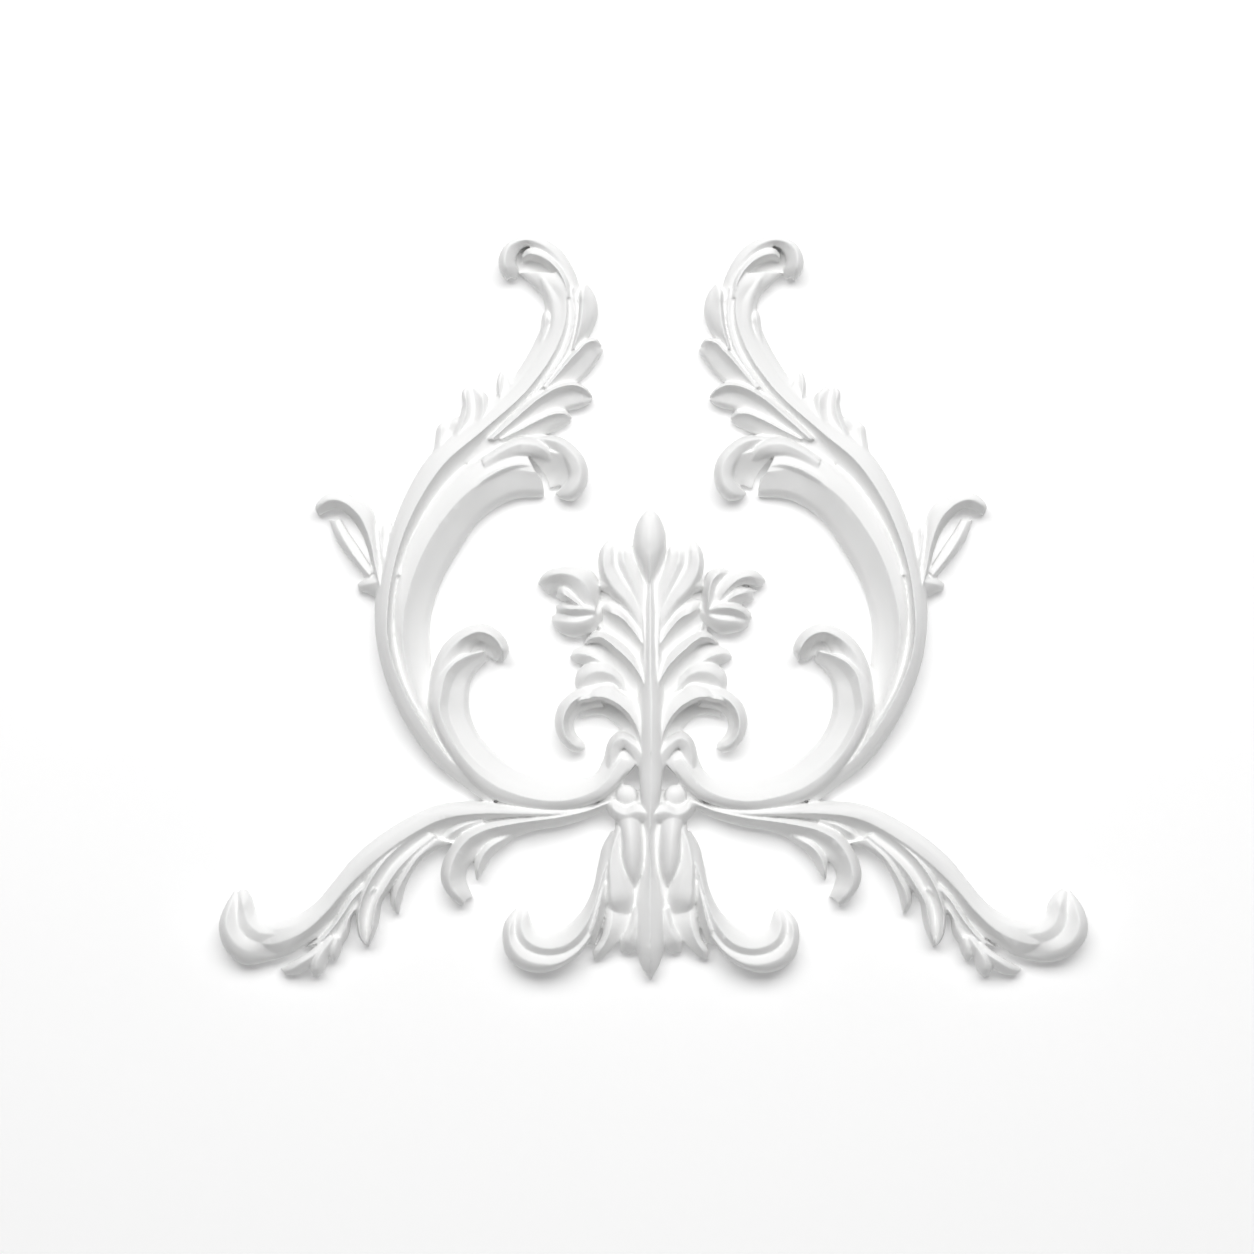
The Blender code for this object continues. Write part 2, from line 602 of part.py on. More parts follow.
# The back is cut flat along the wall plane.
cutters = bpy.data.collections.new("cutters")
bpy.context.scene.collection.children.link(cutters)
bpy.ops.mesh.primitive_cube_add(size=1, location=(0, 0.05, 0))
wall_block = bpy.context.object
wall_block.name = "wall_block"
wall_block.dimensions = (2 * overall_width, 0.1, 2 * overall_width)
bpy.ops.object.transform_apply(location=True, rotation=True, scale=True)
wall_block.hide_render = True
wall_block.display_type = "WIRE"
for holder in list(wall_block.users_collection):
    holder.objects.unlink(wall_block)
cutters.objects.link(wall_block)

flat_back = applique.modifiers.new("flat back", "BOOLEAN")
flat_back.operation = "DIFFERENCE"
flat_back.solver = "EXACT"
flat_back.object = wall_block

ornament = bpy.data.collections.new("acanthus applique")
bpy.context.scene.collection.children.link(ornament)
for holder in list(applique.users_collection):
    holder.objects.unlink(applique)
ornament.objects.link(applique)

plaster = bpy.data.materials.new("white_plaster")
plaster.use_nodes = True
shader = plaster.node_tree.nodes["Principled BSDF"]
shader.inputs["Base Color"].default_value = (0.88, 0.87, 0.85, 1)
shader.inputs["Roughness"].default_value = 0.75
applique.data.materials.clear()
applique.data.materials.append(plaster)
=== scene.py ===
import math

import bpy
import numpy as np
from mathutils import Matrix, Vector


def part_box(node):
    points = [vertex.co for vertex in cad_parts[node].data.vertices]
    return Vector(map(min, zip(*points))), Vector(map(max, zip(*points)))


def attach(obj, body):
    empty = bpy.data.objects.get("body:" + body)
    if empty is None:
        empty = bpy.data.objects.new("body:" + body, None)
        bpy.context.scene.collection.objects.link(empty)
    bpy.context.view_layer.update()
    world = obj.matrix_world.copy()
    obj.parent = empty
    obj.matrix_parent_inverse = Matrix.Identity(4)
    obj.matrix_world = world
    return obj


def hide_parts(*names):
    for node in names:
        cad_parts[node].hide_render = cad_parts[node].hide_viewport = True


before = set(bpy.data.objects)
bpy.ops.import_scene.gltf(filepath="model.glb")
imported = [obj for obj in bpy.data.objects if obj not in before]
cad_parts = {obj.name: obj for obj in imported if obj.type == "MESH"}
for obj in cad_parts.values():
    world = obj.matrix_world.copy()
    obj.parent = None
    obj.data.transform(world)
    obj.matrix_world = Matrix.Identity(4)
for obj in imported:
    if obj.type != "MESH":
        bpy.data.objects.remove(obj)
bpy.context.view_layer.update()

# The carver's layout sheet: squared paper, columns to the right and rows down. Each leaf below has
# the swells between its rails, then the rails. A rail point is a column, a row and a height above
# the wall, and the stem is highest, at 17.
sheet = {
    "squaresAcross": 859.2,  # the casting's reach on the sheet
    "heightsDeep": 16.8,
    "centreColumn": 651,
    "originRow": 745,
    "squaresPerStation": 1.8,  # spacing of the loft's stations along a leaf
    "fewestStations": 8,
    "stepsBetweenRails": 8,
    "behindWall": 0.004,
}
castLow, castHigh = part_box("acanthus_applique")
square = (castHigh[0] - castLow[0]) / sheet["squaresAcross"]
heightUnit = (castHigh[1] - castLow[1]) / sheet["heightsDeep"]


def smoothLine(points, count):
    # evenly spaced points along a smooth line through the given ones
    points = np.array(points, float)
    chords = np.linalg.norm(np.diff(points[:, :2], axis=0), axis=1)
    reach = np.concatenate([[0.0], np.cumsum(chords)])
    slope = np.gradient(points, reach, axis=0)
    at = np.linspace(0.0, reach[-1], count)
    piece = np.clip(np.searchsorted(reach, at, side="right") - 1, 0, len(chords) - 1)
    span = chords[piece][:, None]
    t = (at[:, None] - reach[piece][:, None]) / span
    start, end = points[piece], points[piece + 1]
    return (
        start * (1 + 2 * t) * (1 - t) ** 2
        + end * t**2 * (3 - 2 * t)
        + slope[piece] * span * t * (1 - t) ** 2
        - slope[piece + 1] * span * t**2 * (1 - t)
    )


def between(low, high, share, swell):
    # a line part of the way between two rails: swell 1 bows out, -1 hollows like a cove, 0 is straight
    line = low + (high - low) * share
    quick = np.sqrt(1 - (1 - share) ** 2)
    slow = 1 - np.sqrt(1 - share**2)
    rising = high[:, 2] > low[:, 2]
    bowed = np.where(rising == (swell > 0), quick, slow)
    line[:, 2] = low[:, 2] + (high[:, 2] - low[:, 2]) * (share + (bowed - share) * abs(swell))
    return line


def railLength(rail):
    return float(np.linalg.norm(np.diff(np.array(rail, float)[:, :2], axis=0), axis=1).sum())


def carveLeaf(name, leaf, side):
    # side 1 is as laid out, -1 is the mirror image on the right
    swells, rails = leaf
    longest = max(railLength(rail) for rail in rails)
    stations = max(sheet["fewestStations"], int(longest / sheet["squaresPerStation"]))
    lines = [smoothLine(rail, stations) for rail in rails]
    skin = [lines[0]]
    for low, high, swell in zip(lines, lines[1:], swells):
        for step in range(1, sheet["stepsBetweenRails"] + 1):
            skin.append(between(low, high, step / sheet["stepsBetweenRails"], swell))
    skin = np.array(skin)
    across = (skin[..., 0] - sheet["centreColumn"]) * square * side
    out = -skin[..., 2] * heightUnit
    up = (sheet["originRow"] - skin[..., 1]) * square
    bpy.ops.mesh.primitive_grid_add(x_subdivisions=stations - 1, y_subdivisions=len(skin) - 1, size=1)
    piece = bpy.context.object
    piece.name = name
    piece.data.vertices.foreach_set("co", np.stack([across, out, up], axis=-1).ravel())
    bpy.ops.object.mode_set(mode="EDIT")
    bpy.ops.mesh.select_all(action="SELECT")
    bpy.ops.mesh.extrude_region_move()
    bpy.ops.transform.resize(value=(1, 0, 1), center_override=(0, sheet["behindWall"], 0))
    bpy.ops.mesh.select_all(action="SELECT")
    bpy.ops.mesh.normals_make_consistent(inside=False)
    bpy.ops.object.mode_set(mode="OBJECT")
    return piece


def carveForm(form, sides):
    pieces = []
    for name, leaf in form.items():
        for side in sides:
            pieces.append(carveLeaf(name, leaf, side))
    return pieces


bpy.ops.object.select_all(action="DESELECT")
carved = []

# The upper scroll: outer branch, cove band, curls, leaf lobes and bracts.
upperScroll = {
    "branch": ((0.8, 0.3, -0.3), [
        [(520, 274, 4), (530, 284, 4), (540, 294, 4), (545, 307, 4), (543, 323, 4), (536, 340, 4),
         (518, 371, 4), (480, 412, 5), (427, 460, 5), (404, 500, 5), (388, 545, 5), (376, 600, 5),
         (377, 640, 5), (400, 712, 5), (430, 757, 5), (492, 806, 5)],
        [(530, 273, 8), (539, 281, 9), (549, 292, 9), (553, 306, 9), (552, 323, 9), (546, 341, 9),
         (526, 375, 9), (482, 421, 11), (433, 463, 12), (410, 502, 12), (393, 545, 12), (381, 600, 11),
         (382, 640, 11), (404, 710, 10), (433, 753, 8), (493, 804, 7)],
        [(562, 276, 11), (564, 288, 12), (567, 306, 12), (566, 323, 12), (559, 345, 12), (533, 386, 13),
         (483, 433, 14), (447, 464, 15), (422, 500, 15), (404, 540, 15), (392, 590, 15), (390, 640, 15),
         (415, 707, 13), (440, 745, 11), (494, 801, 8)],
        [(567, 276, 9), (571, 290, 8), (573, 306, 8), (573, 323, 8), (567, 346, 8), (543, 385, 7),
         (493, 442, 5), (459, 480, 4), (434, 516, 4), (415, 547, 4), (402, 592, 4), (400, 640, 5),
         (421, 709, 6), (446, 746, 6), (496, 797, 6)],
    ]),
    "branchVein": ((0.8, -0.3), [
        [(567, 300, 8), (569, 323, 8), (563, 347, 8), (541, 384, 8), (500, 428, 7)],
        [(573, 290, 11), (575, 320, 11), (569, 347, 11), (547, 383, 11.5), (504, 428, 9)],
        [(577, 290, 7), (579, 320, 7), (572, 350, 7), (550, 386, 7), (507, 430, 6)],
    ]),
    "innerFold": ((0.8, 0.2), [
        [(538, 281, 7), (544, 292, 8), (549, 305, 8), (551, 325, 9), (545, 345, 9)],
        [(543, 280, 10.5), (549, 291, 11), (554, 304, 11), (556, 325, 11), (549, 348, 10)],
        [(549, 279, 9), (556, 290, 10), (560, 303, 11), (561, 325, 11), (554, 349, 10)],
    ]),
    "innerLeafTip": ((0.6, 0.4), [
        [(537, 345, 4), (541, 328, 5), (543, 315, 5), (547, 309, 4)],
        [(540, 345, 8.5), (545, 328, 10), (547, 317, 10), (548, 311, 7)],
        [(544, 346, 8), (549, 328, 8.5), (551, 318, 8.5), (549, 310, 6)],
    ]),
    "topCurlBand": ((0.9, 0.3), [
        [(583, 305, 5), (579, 284, 5), (572, 267, 5), (560, 250, 5), (546, 241, 5), (530, 237, 5),
         (515, 240, 5), (504, 248, 5), (499, 260, 4), (500, 271, 4), (507, 281, 4)],
        [(578, 303, 9), (573, 284, 10), (566, 270, 11), (555, 257, 12), (542, 247, 13), (529, 243, 13),
         (517, 245, 13), (509, 251, 13), (506, 261, 13), (507, 270, 12), (511, 278, 8)],
        [(569, 302, 10), (566, 286, 10), (559, 271, 10), (547, 258, 10), (535, 250, 10), (528, 248, 9),
         (521, 251, 9), (517, 257, 9), (516, 264, 8), (519, 271, 6), (516, 280, 4)],
    ]),
    "topCurlLip": ((0.7, 0), [
        [(572, 300, 9), (568, 283, 10), (558, 266, 10), (545, 255, 11), (535, 251, 10), (527, 251, 8),
         (522, 256, 5)],
        [(568, 300, 12), (565, 285, 13), (556, 270, 13), (546, 262, 13), (537, 258, 13), (529, 257, 12),
         (523, 260, 8)],
        [(565, 300, 10), (562, 287, 8), (553, 273.5, 5), (545, 266, 4), (536.5, 262, 3.5), (529, 261, 3),
         (522, 264, 3)],
    ]),
    "topCurlCave": ((0,), [
        [(516, 252, 3), (528, 248, 3), (545, 254, 3), (566, 282, 3)],
        [(514, 276, 2.5), (530, 278, 2.5), (542, 284, 3), (560, 292, 3)],
    ]),
    "topOuterLobe": ((0.9, 0.1, 0.7), [
        [(571, 352, 8), (577, 327, 8), (579, 307, 8), (580, 291, 7), (584, 285, 5)],
        [(574, 351, 12), (581, 327, 13), (583, 309, 13), (584, 294, 12), (586, 286, 7)],
        [(577, 349, 9), (588, 329, 10), (592, 310, 10), (589, 296, 9), (587, 286, 6)],
        [(580, 348, 3), (592, 332, 3), (598, 312, 3), (594, 294, 3), (587, 284, 3)],
    ]),
    "lobeA": ((0.8, -0.3, 0, 0.8), [
        [(543, 388, 8), (560, 367, 8), (575, 350, 7), (588, 340, 6), (596, 339, 5), (602, 346, 4)],
        [(547, 390, 12), (563, 371, 12.5), (578, 354, 12.5), (589, 344, 12), (596, 343, 11), (601, 347, 6)],
        [(550, 391, 10), (567, 374, 9), (581, 360, 8.5), (591, 350, 8.5), (597, 348, 8), (600, 348, 5)],
        [(555, 393, 8), (574, 380, 6.5), (587, 368, 6.5), (595, 358, 6.5), (599, 352, 6.5), (601, 349, 5)],
        [(558, 396, 3), (576, 384, 3), (589, 373, 3), (598, 360, 3), (602, 354, 3), (603, 349, 3)],
    ]),
    "lobeB": ((0.8, -0.3, 0, 0.8), [
        [(488, 440, 9), (515, 414, 9), (540, 394, 8), (560, 384, 7), (575, 383, 6), (587, 389, 5),
         (593, 397, 4)],
        [(493, 441, 13), (518, 419, 13), (542, 399, 13.5), (561, 389, 13), (575, 387, 12.5),
         (585, 391, 11.5), (591, 397, 6)],
        [(499, 440, 10), (524, 422, 9), (546, 405, 8.5), (562, 395, 8), (575, 393, 8), (583, 395, 8),
         (589, 398, 5)],
        [(505, 441, 8), (531, 428, 6.5), (551, 415, 6), (565, 406, 6.5), (577, 404, 7), (585, 402, 7),
         (590, 399, 5)],
        [(509, 444, 3), (533, 432, 3), (553, 419, 3), (567, 411, 3), (580, 408, 3), (589, 404, 3),
         (593, 399, 3)],
    ]),
    "lobeC": ((0.7, -0.5, 0.5), [
        [(500, 440, 9), (522, 427, 9), (542, 417, 8), (558, 411, 7), (567, 412, 5), (572, 418, 4)],
        [(502, 441, 12), (524, 430, 12), (543, 420, 11.5), (558, 415, 11), (566, 416, 9), (570, 419, 6)],
        [(505, 443, 8), (526, 435, 7.5), (545, 428, 7.5), (558, 423, 7.5), (564, 421, 6.5), (569, 421, 5)],
        [(508, 446, 4), (530, 440, 3), (548, 434, 3), (560, 429, 3), (567, 425, 3), (572, 421, 3)],
    ]),
    "coveBand": ((0.8, 0.1, 0, 0, 0.6), [
        [(525, 444, 5), (503, 447, 4), (466, 466, 4), (430, 504, 4), (404, 556, 4), (395, 600, 4),
         (396, 645, 4), (416, 712, 4), (428, 728, 4)],
        [(527, 455, 10), (500, 454, 11), (470, 474, 12), (437, 512, 12), (411, 563, 12), (401, 600, 12),
         (402, 645, 11), (420, 706, 9), (431, 728, 5)],
        [(536, 473, 11), (507, 471, 12), (472, 491, 13.5), (440, 527, 13.5), (414, 579, 13.5),
         (405, 618, 13), (406, 655, 12), (421, 702, 9.5), (432, 729, 5)],
        [(541, 478, 9.5), (510, 478, 10.5), (475, 498, 11.5), (443, 534, 11.5), (418, 584, 11.5),
         (410, 619, 11), (411, 655, 10), (424, 701, 8), (434, 729, 5)],
        [(544, 489, 7), (514, 491, 8), (480, 510, 8), (451, 545, 8), (429, 589, 7.5), (423, 620, 7.5),
         (424, 655, 7), (431, 700, 6), (437, 729, 4)],
        [(544, 497, 2), (515, 499, 2), (484, 517, 2), (458, 552, 2), (438, 591, 2), (431, 620, 2),
         (431, 655, 2), (435, 700, 2), (440, 730, 2)],
    ]),
    "coveUpperLobe": ((0.9, 0.2, 0.7), [
        [(553, 462, 5), (552, 452, 6), (541, 441, 7), (525, 437, 7), (505, 444, 8), (482, 458, 8)],
        [(550, 461, 9), (546, 453, 12), (536, 447, 13.5), (520, 446, 13.5), (503, 453, 13.5),
         (484, 465, 13)],
        [(546, 462, 8), (540, 458, 10), (530, 454, 12), (517, 454, 12), (502, 460, 12), (486, 470, 12)],
        [(543, 463, 4), (536, 460, 4), (526, 459, 5), (513, 461, 6), (501, 465, 8), (488, 473, 11)],
    ]),
    "coveLowerLobe": ((0.8, 0.5), [
        [(530, 463, 6), (518, 461, 7), (502, 466, 8), (486, 475, 10), (465, 494, 11)],
        [(532, 467, 11), (520, 466, 13), (504, 470, 14), (488, 479, 14), (466, 497, 13)],
        [(532, 473, 5), (522, 473, 7), (508, 476, 8), (492, 484, 9), (470, 501, 10)],
    ]),
    "endCurl": ((0.9, 0.2, 0.7), [
        [(530, 438, 6), (545, 436, 5), (559, 437, 5), (574, 446, 5), (585, 460, 5), (588, 475, 5),
         (584, 491, 5), (573, 501, 4), (558, 498, 3)],
        [(532, 441, 10), (546, 441, 12), (559, 444, 13), (571, 453, 13), (579, 464, 13), (580, 476, 12.5),
         (576, 487, 12), (568, 494, 10), (558, 496, 5)],
        [(536, 444, 8), (548, 447, 10), (558, 452, 11), (566, 460, 11), (571, 469, 11), (571, 478, 10),
         (567, 486, 9), (562, 490, 7), (556, 494, 4)],
        [(541, 446, 4), (549, 452, 4), (556, 458, 4), (563, 464, 4), (567, 471, 4), (568, 478, 4),
         (564, 485, 4), (560, 489, 4), (555, 494, 3)],
    ]),
    "endCurlTooth": ((0.6, 0.3), [
        [(551, 455, 3), (556, 462, 4), (561, 464, 4)],
        [(557, 451, 10), (561, 458, 9), (563, 463, 7)],
        [(566, 452, 11), (568, 458, 9), (567, 464, 5)],
    ]),
    "endCurlEye": ((0, 0), [
        [(531, 458, 9), (539, 467, 6), (546, 478, 3), (550, 489, 2)],
        [(545, 450, 11), (553, 462, 8.5), (557, 474, 5.5), (558, 486, 3)],
        [(560, 455, 11), (566, 464, 9), (568, 474, 7), (566, 484, 5)],
    ]),
    "bractD": ((0.8, -0.4, 0.2, 0.8), [
        [(500, 413, 6), (497, 397, 5), (497, 382, 5), (501, 370, 4)],
        [(503, 412, 9), (501, 397, 10), (501, 384, 10), (503, 374, 7)],
        [(505, 411, 7), (506, 398, 6.5), (507, 387, 6.5), (505, 376, 6)],
        [(507, 410, 8), (511, 399, 9), (512, 388, 9), (507, 377, 7)],
        [(509, 412, 4), (515, 400, 3), (517, 388, 3), (509, 374, 3)],
    ]),
    "bractE": ((0.8, -0.3, 0.3, 0.8), [
        [(440, 466, 6), (455, 430, 5), (463, 405, 5), (463, 391, 4), (468, 386, 4)],
        [(445, 465, 11), (460, 433, 11), (468, 410, 11), (467, 395, 10), (469, 388, 6)],
        [(450, 464, 10), (466, 436, 9), (475, 412, 8), (474, 399, 7), (471, 391, 6)],
        [(453, 463, 11), (475, 434, 11.5), (484, 413, 11.5), (483, 399, 11), (474, 389, 7)],
        [(456, 463, 7), (480, 434, 5), (491, 411, 4), (488, 396, 4), (476, 386, 4)],
    ]),
    "bractF": ((0.8, -0.3, 0.3, 0.8), [
        [(425, 463, 5), (434, 450, 4), (436, 438, 4), (438, 427, 4), (444, 421, 3)],
        [(432, 463, 9), (441, 449, 10), (443, 437, 9), (444, 427, 8), (446, 422, 5)],
        [(440, 462, 8), (448, 447, 7), (450, 435, 6), (449, 426, 6), (449, 422, 4)],
        [(446, 461, 9), (455, 446, 9), (458, 433, 8), (456, 421, 7), (452, 420, 4)],
        [(449, 461, 6), (459, 446, 4), (462, 431, 4), (460, 417, 3), (454, 418, 3)],
    ]),
    "lobeGround": ((0, 0), [
        [(455, 462, 7), (480, 438, 9), (515, 408, 9), (543, 377, 9), (562, 346, 9), (568, 322, 9),
         (567, 290, 9)],
        [(478, 466, 7), (500, 446, 9), (530, 422, 9), (554, 390, 9), (570, 358, 9), (576, 328, 9),
         (577, 290, 9)],
        [(500, 470, 4), (515, 455, 5), (540, 430, 5), (564, 398, 5), (578, 364, 5), (585, 335, 5),
         (585, 292, 5)],
    ]),
}
carved += carveForm(upperScroll, (1, -1))
print("upperScroll:", len(carved), "pieces so far")

# The side leaf on the outer edge of the scroll.
sideLeaf = {
    "sideLeafRim": ((0.9, 0.1), [
        [(386, 592, 6), (382, 565, 5), (379, 542, 5), (377, 525, 5), (374, 512, 5), (368, 504, 5),
         (358, 499, 5), (346, 493, 5), (332, 493, 5), (321, 499, 4), (316, 508, 4), (319, 516, 3)],
        [(382, 590, 11), (377, 567, 12), (373, 546, 12.5), (368, 530, 12.5), (362, 518, 12.5),
         (355, 510, 12.5), (347, 504, 12.5), (338, 501, 12), (329, 502, 11), (322, 507, 9), (319, 513, 5)],
        [(380, 590, 8), (373, 568, 5), (368, 549, 4), (362, 534, 3.5), (355, 523, 3.5), (348, 515, 4),
         (340, 510, 5), (333, 509, 6), (328, 511, 6), (324, 513, 5), (321, 515, 3)],
    ]),
    "sideLeafLobe": ((0.5, 0.3), [
        [(330, 520, 2), (335, 536, 2), (344, 551, 2), (355, 564, 2), (368, 580, 3)],
        [(336, 521, 5), (342, 534, 7), (350, 548, 8), (359, 561, 9), (371, 576, 9)],
        [(341, 519, 4), (348, 531, 5), (357, 544, 6), (366, 558, 7), (375, 572, 8)],
    ]),
    "sideLeafSpur": ((0.6, 0.5), [
        [(386, 571, 8), (375, 575, 7), (365, 579, 5), (358, 584, 3)],
        [(386, 581, 11), (375, 583, 10), (366, 585, 8), (359, 587, 4)],
        [(387, 602, 4), (376, 597, 3), (367, 593, 3), (359, 590, 3)],
    ]),
    "sideLeafSecond": ((0.8, -0.3, -0.3, 0.7), [
        [(386, 582, 7), (380, 560, 6), (377, 540, 5), (377, 527, 4.5), (382, 520, 4)],
        [(390, 581, 11), (386, 560, 11), (383, 541, 10.5), (383, 529, 9.5), (385, 521, 5)],
        [(394, 579, 9), (391, 560, 7.5), (388, 543, 6.5), (388, 530, 6), (387, 521, 4)],
        [(398, 576, 11), (396, 560, 10), (393, 545, 9), (391, 532, 8), (389, 522, 4)],
        [(404, 574, 8), (401, 560, 6), (397, 545, 4), (394, 532, 3.5), (391, 521, 3)],
    ]),
}
carved += carveForm(sideLeaf, (1, -1))
print("sideLeaf:", len(carved), "pieces so far")

# The comma scroll inside the big scroll, down to its link to the stem.
commaScroll = {
    "commaBand": ((0.8, 0.2, 0, 0, 0.6), [
        [(478, 651, 7), (452, 660, 6), (439, 670, 5), (431, 684, 5), (428, 702, 5), (435, 728, 5),
         (455, 763, 5), (485, 794, 4), (520, 808, 4), (560, 811, 4), (600, 800, 4), (637, 764, 5)],
        [(481, 650, 9), (459, 657, 11.5), (446, 668, 12), (438, 682, 12.5), (435, 702, 12.5),
         (441, 727, 12.5), (460, 759, 12.5), (489, 789, 12), (522, 803, 11.5), (561, 806, 11.5),
         (600, 795, 11.5), (634, 761, 11)],
        [(485, 651, 10), (468, 656, 13), (457, 662, 14), (449, 671, 14), (443, 692, 14), (441, 705, 14),
         (450, 731, 14), (468, 760, 14), (495, 783, 13.5), (525, 795, 13.5), (562, 799, 13.5),
         (598, 787, 13), (622, 757, 12)],
        [(486, 654, 7), (472, 662, 9), (462, 670, 9.5), (455, 680, 9.5), (450, 696, 10), (449, 709, 10),
         (456, 732, 10), (473, 757, 10), (499, 777, 10), (528, 788, 10), (562, 792, 10), (595, 783, 10),
         (618, 755, 9)],
        [(487, 657, 5), (475, 668, 7), (468, 680, 7), (465, 695, 7.5), (465, 711, 7.5), (473, 731, 7.5),
         (491, 752, 7.5), (513, 768, 7), (538, 777, 7), (564, 780, 7), (595, 775, 7), (609, 752, 6)],
        [(488, 660, 2), (477, 671, 2), (471, 682, 2), (469, 697, 2), (470, 712, 2), (477, 731, 2),
         (495, 752, 2), (515, 767, 2), (540, 776, 2), (565, 778, 2), (595, 773, 2), (607, 750, 3)],
    ]),
    "commaRing": ((0.9, 0.1, 0.2), [
        [(429, 712, 4), (430, 682, 5), (435, 662, 5), (446, 642, 5), (462, 629, 5), (480, 623, 5),
         (495, 628, 5), (505, 638, 5), (509, 650, 4), (504, 662, 3)],
        [(436, 710, 9), (437, 684, 12), (442, 666, 13), (453, 648, 13.5), (466, 637, 14), (481, 632, 14),
         (491, 635, 14), (499, 642, 13.5), (503, 651, 12.5), (502, 660, 6)],
        [(443, 708, 9), (444, 686, 11.5), (450, 670, 12), (459, 655, 11.5), (469, 643, 9), (480, 637, 8),
         (488, 639, 7.5), (494, 645, 7), (497, 651, 6), (499, 659, 4)],
        [(450, 706, 6), (452, 688, 7), (459, 673, 7), (468, 659, 6), (473, 647, 4), (480, 641, 3),
         (486, 643, 3), (491, 648, 3), (493, 653, 3), (496, 661, 2)],
    ]),
    "commaPit": ((0,), [
        [(464, 648, 4), (472, 640, 3), (484, 638, 3), (495, 644, 3), (500, 656, 3)],
        [(470, 656, 4), (477, 653, 3), (484, 653, 3), (490, 657, 3), (496, 662, 2)],
    ]),
    "scrollLink": ((0.8, 0.2), [
        [(605, 768, 5), (606, 748, 5), (611, 737, 5), (620, 731, 5), (631, 735, 7), (641, 744, 9),
         (649, 756, 10)],
        [(610, 768, 10), (611, 750, 12.5), (615, 741, 13.5), (622, 737, 14), (631, 742, 14), (639, 750, 14),
         (646, 762, 13.5)],
        [(617, 770, 10), (618, 757, 10.5), (620, 750, 11), (624, 747, 11.5), (629, 751, 12), (634, 758, 12),
         (638, 768, 11.5)],
    ]),
    "linkGround": ((0,), [
        [(600, 803, 5), (606, 786, 7), (612, 768, 9), (618, 752, 10), (626, 744, 9)],
        [(632, 812, 5), (627, 797, 5), (624, 780, 8), (634, 765, 12), (642, 751, 12)],
    ]),
}
carved += carveForm(commaScroll, (1, -1))
print("commaScroll:", len(carved), "pieces so far")

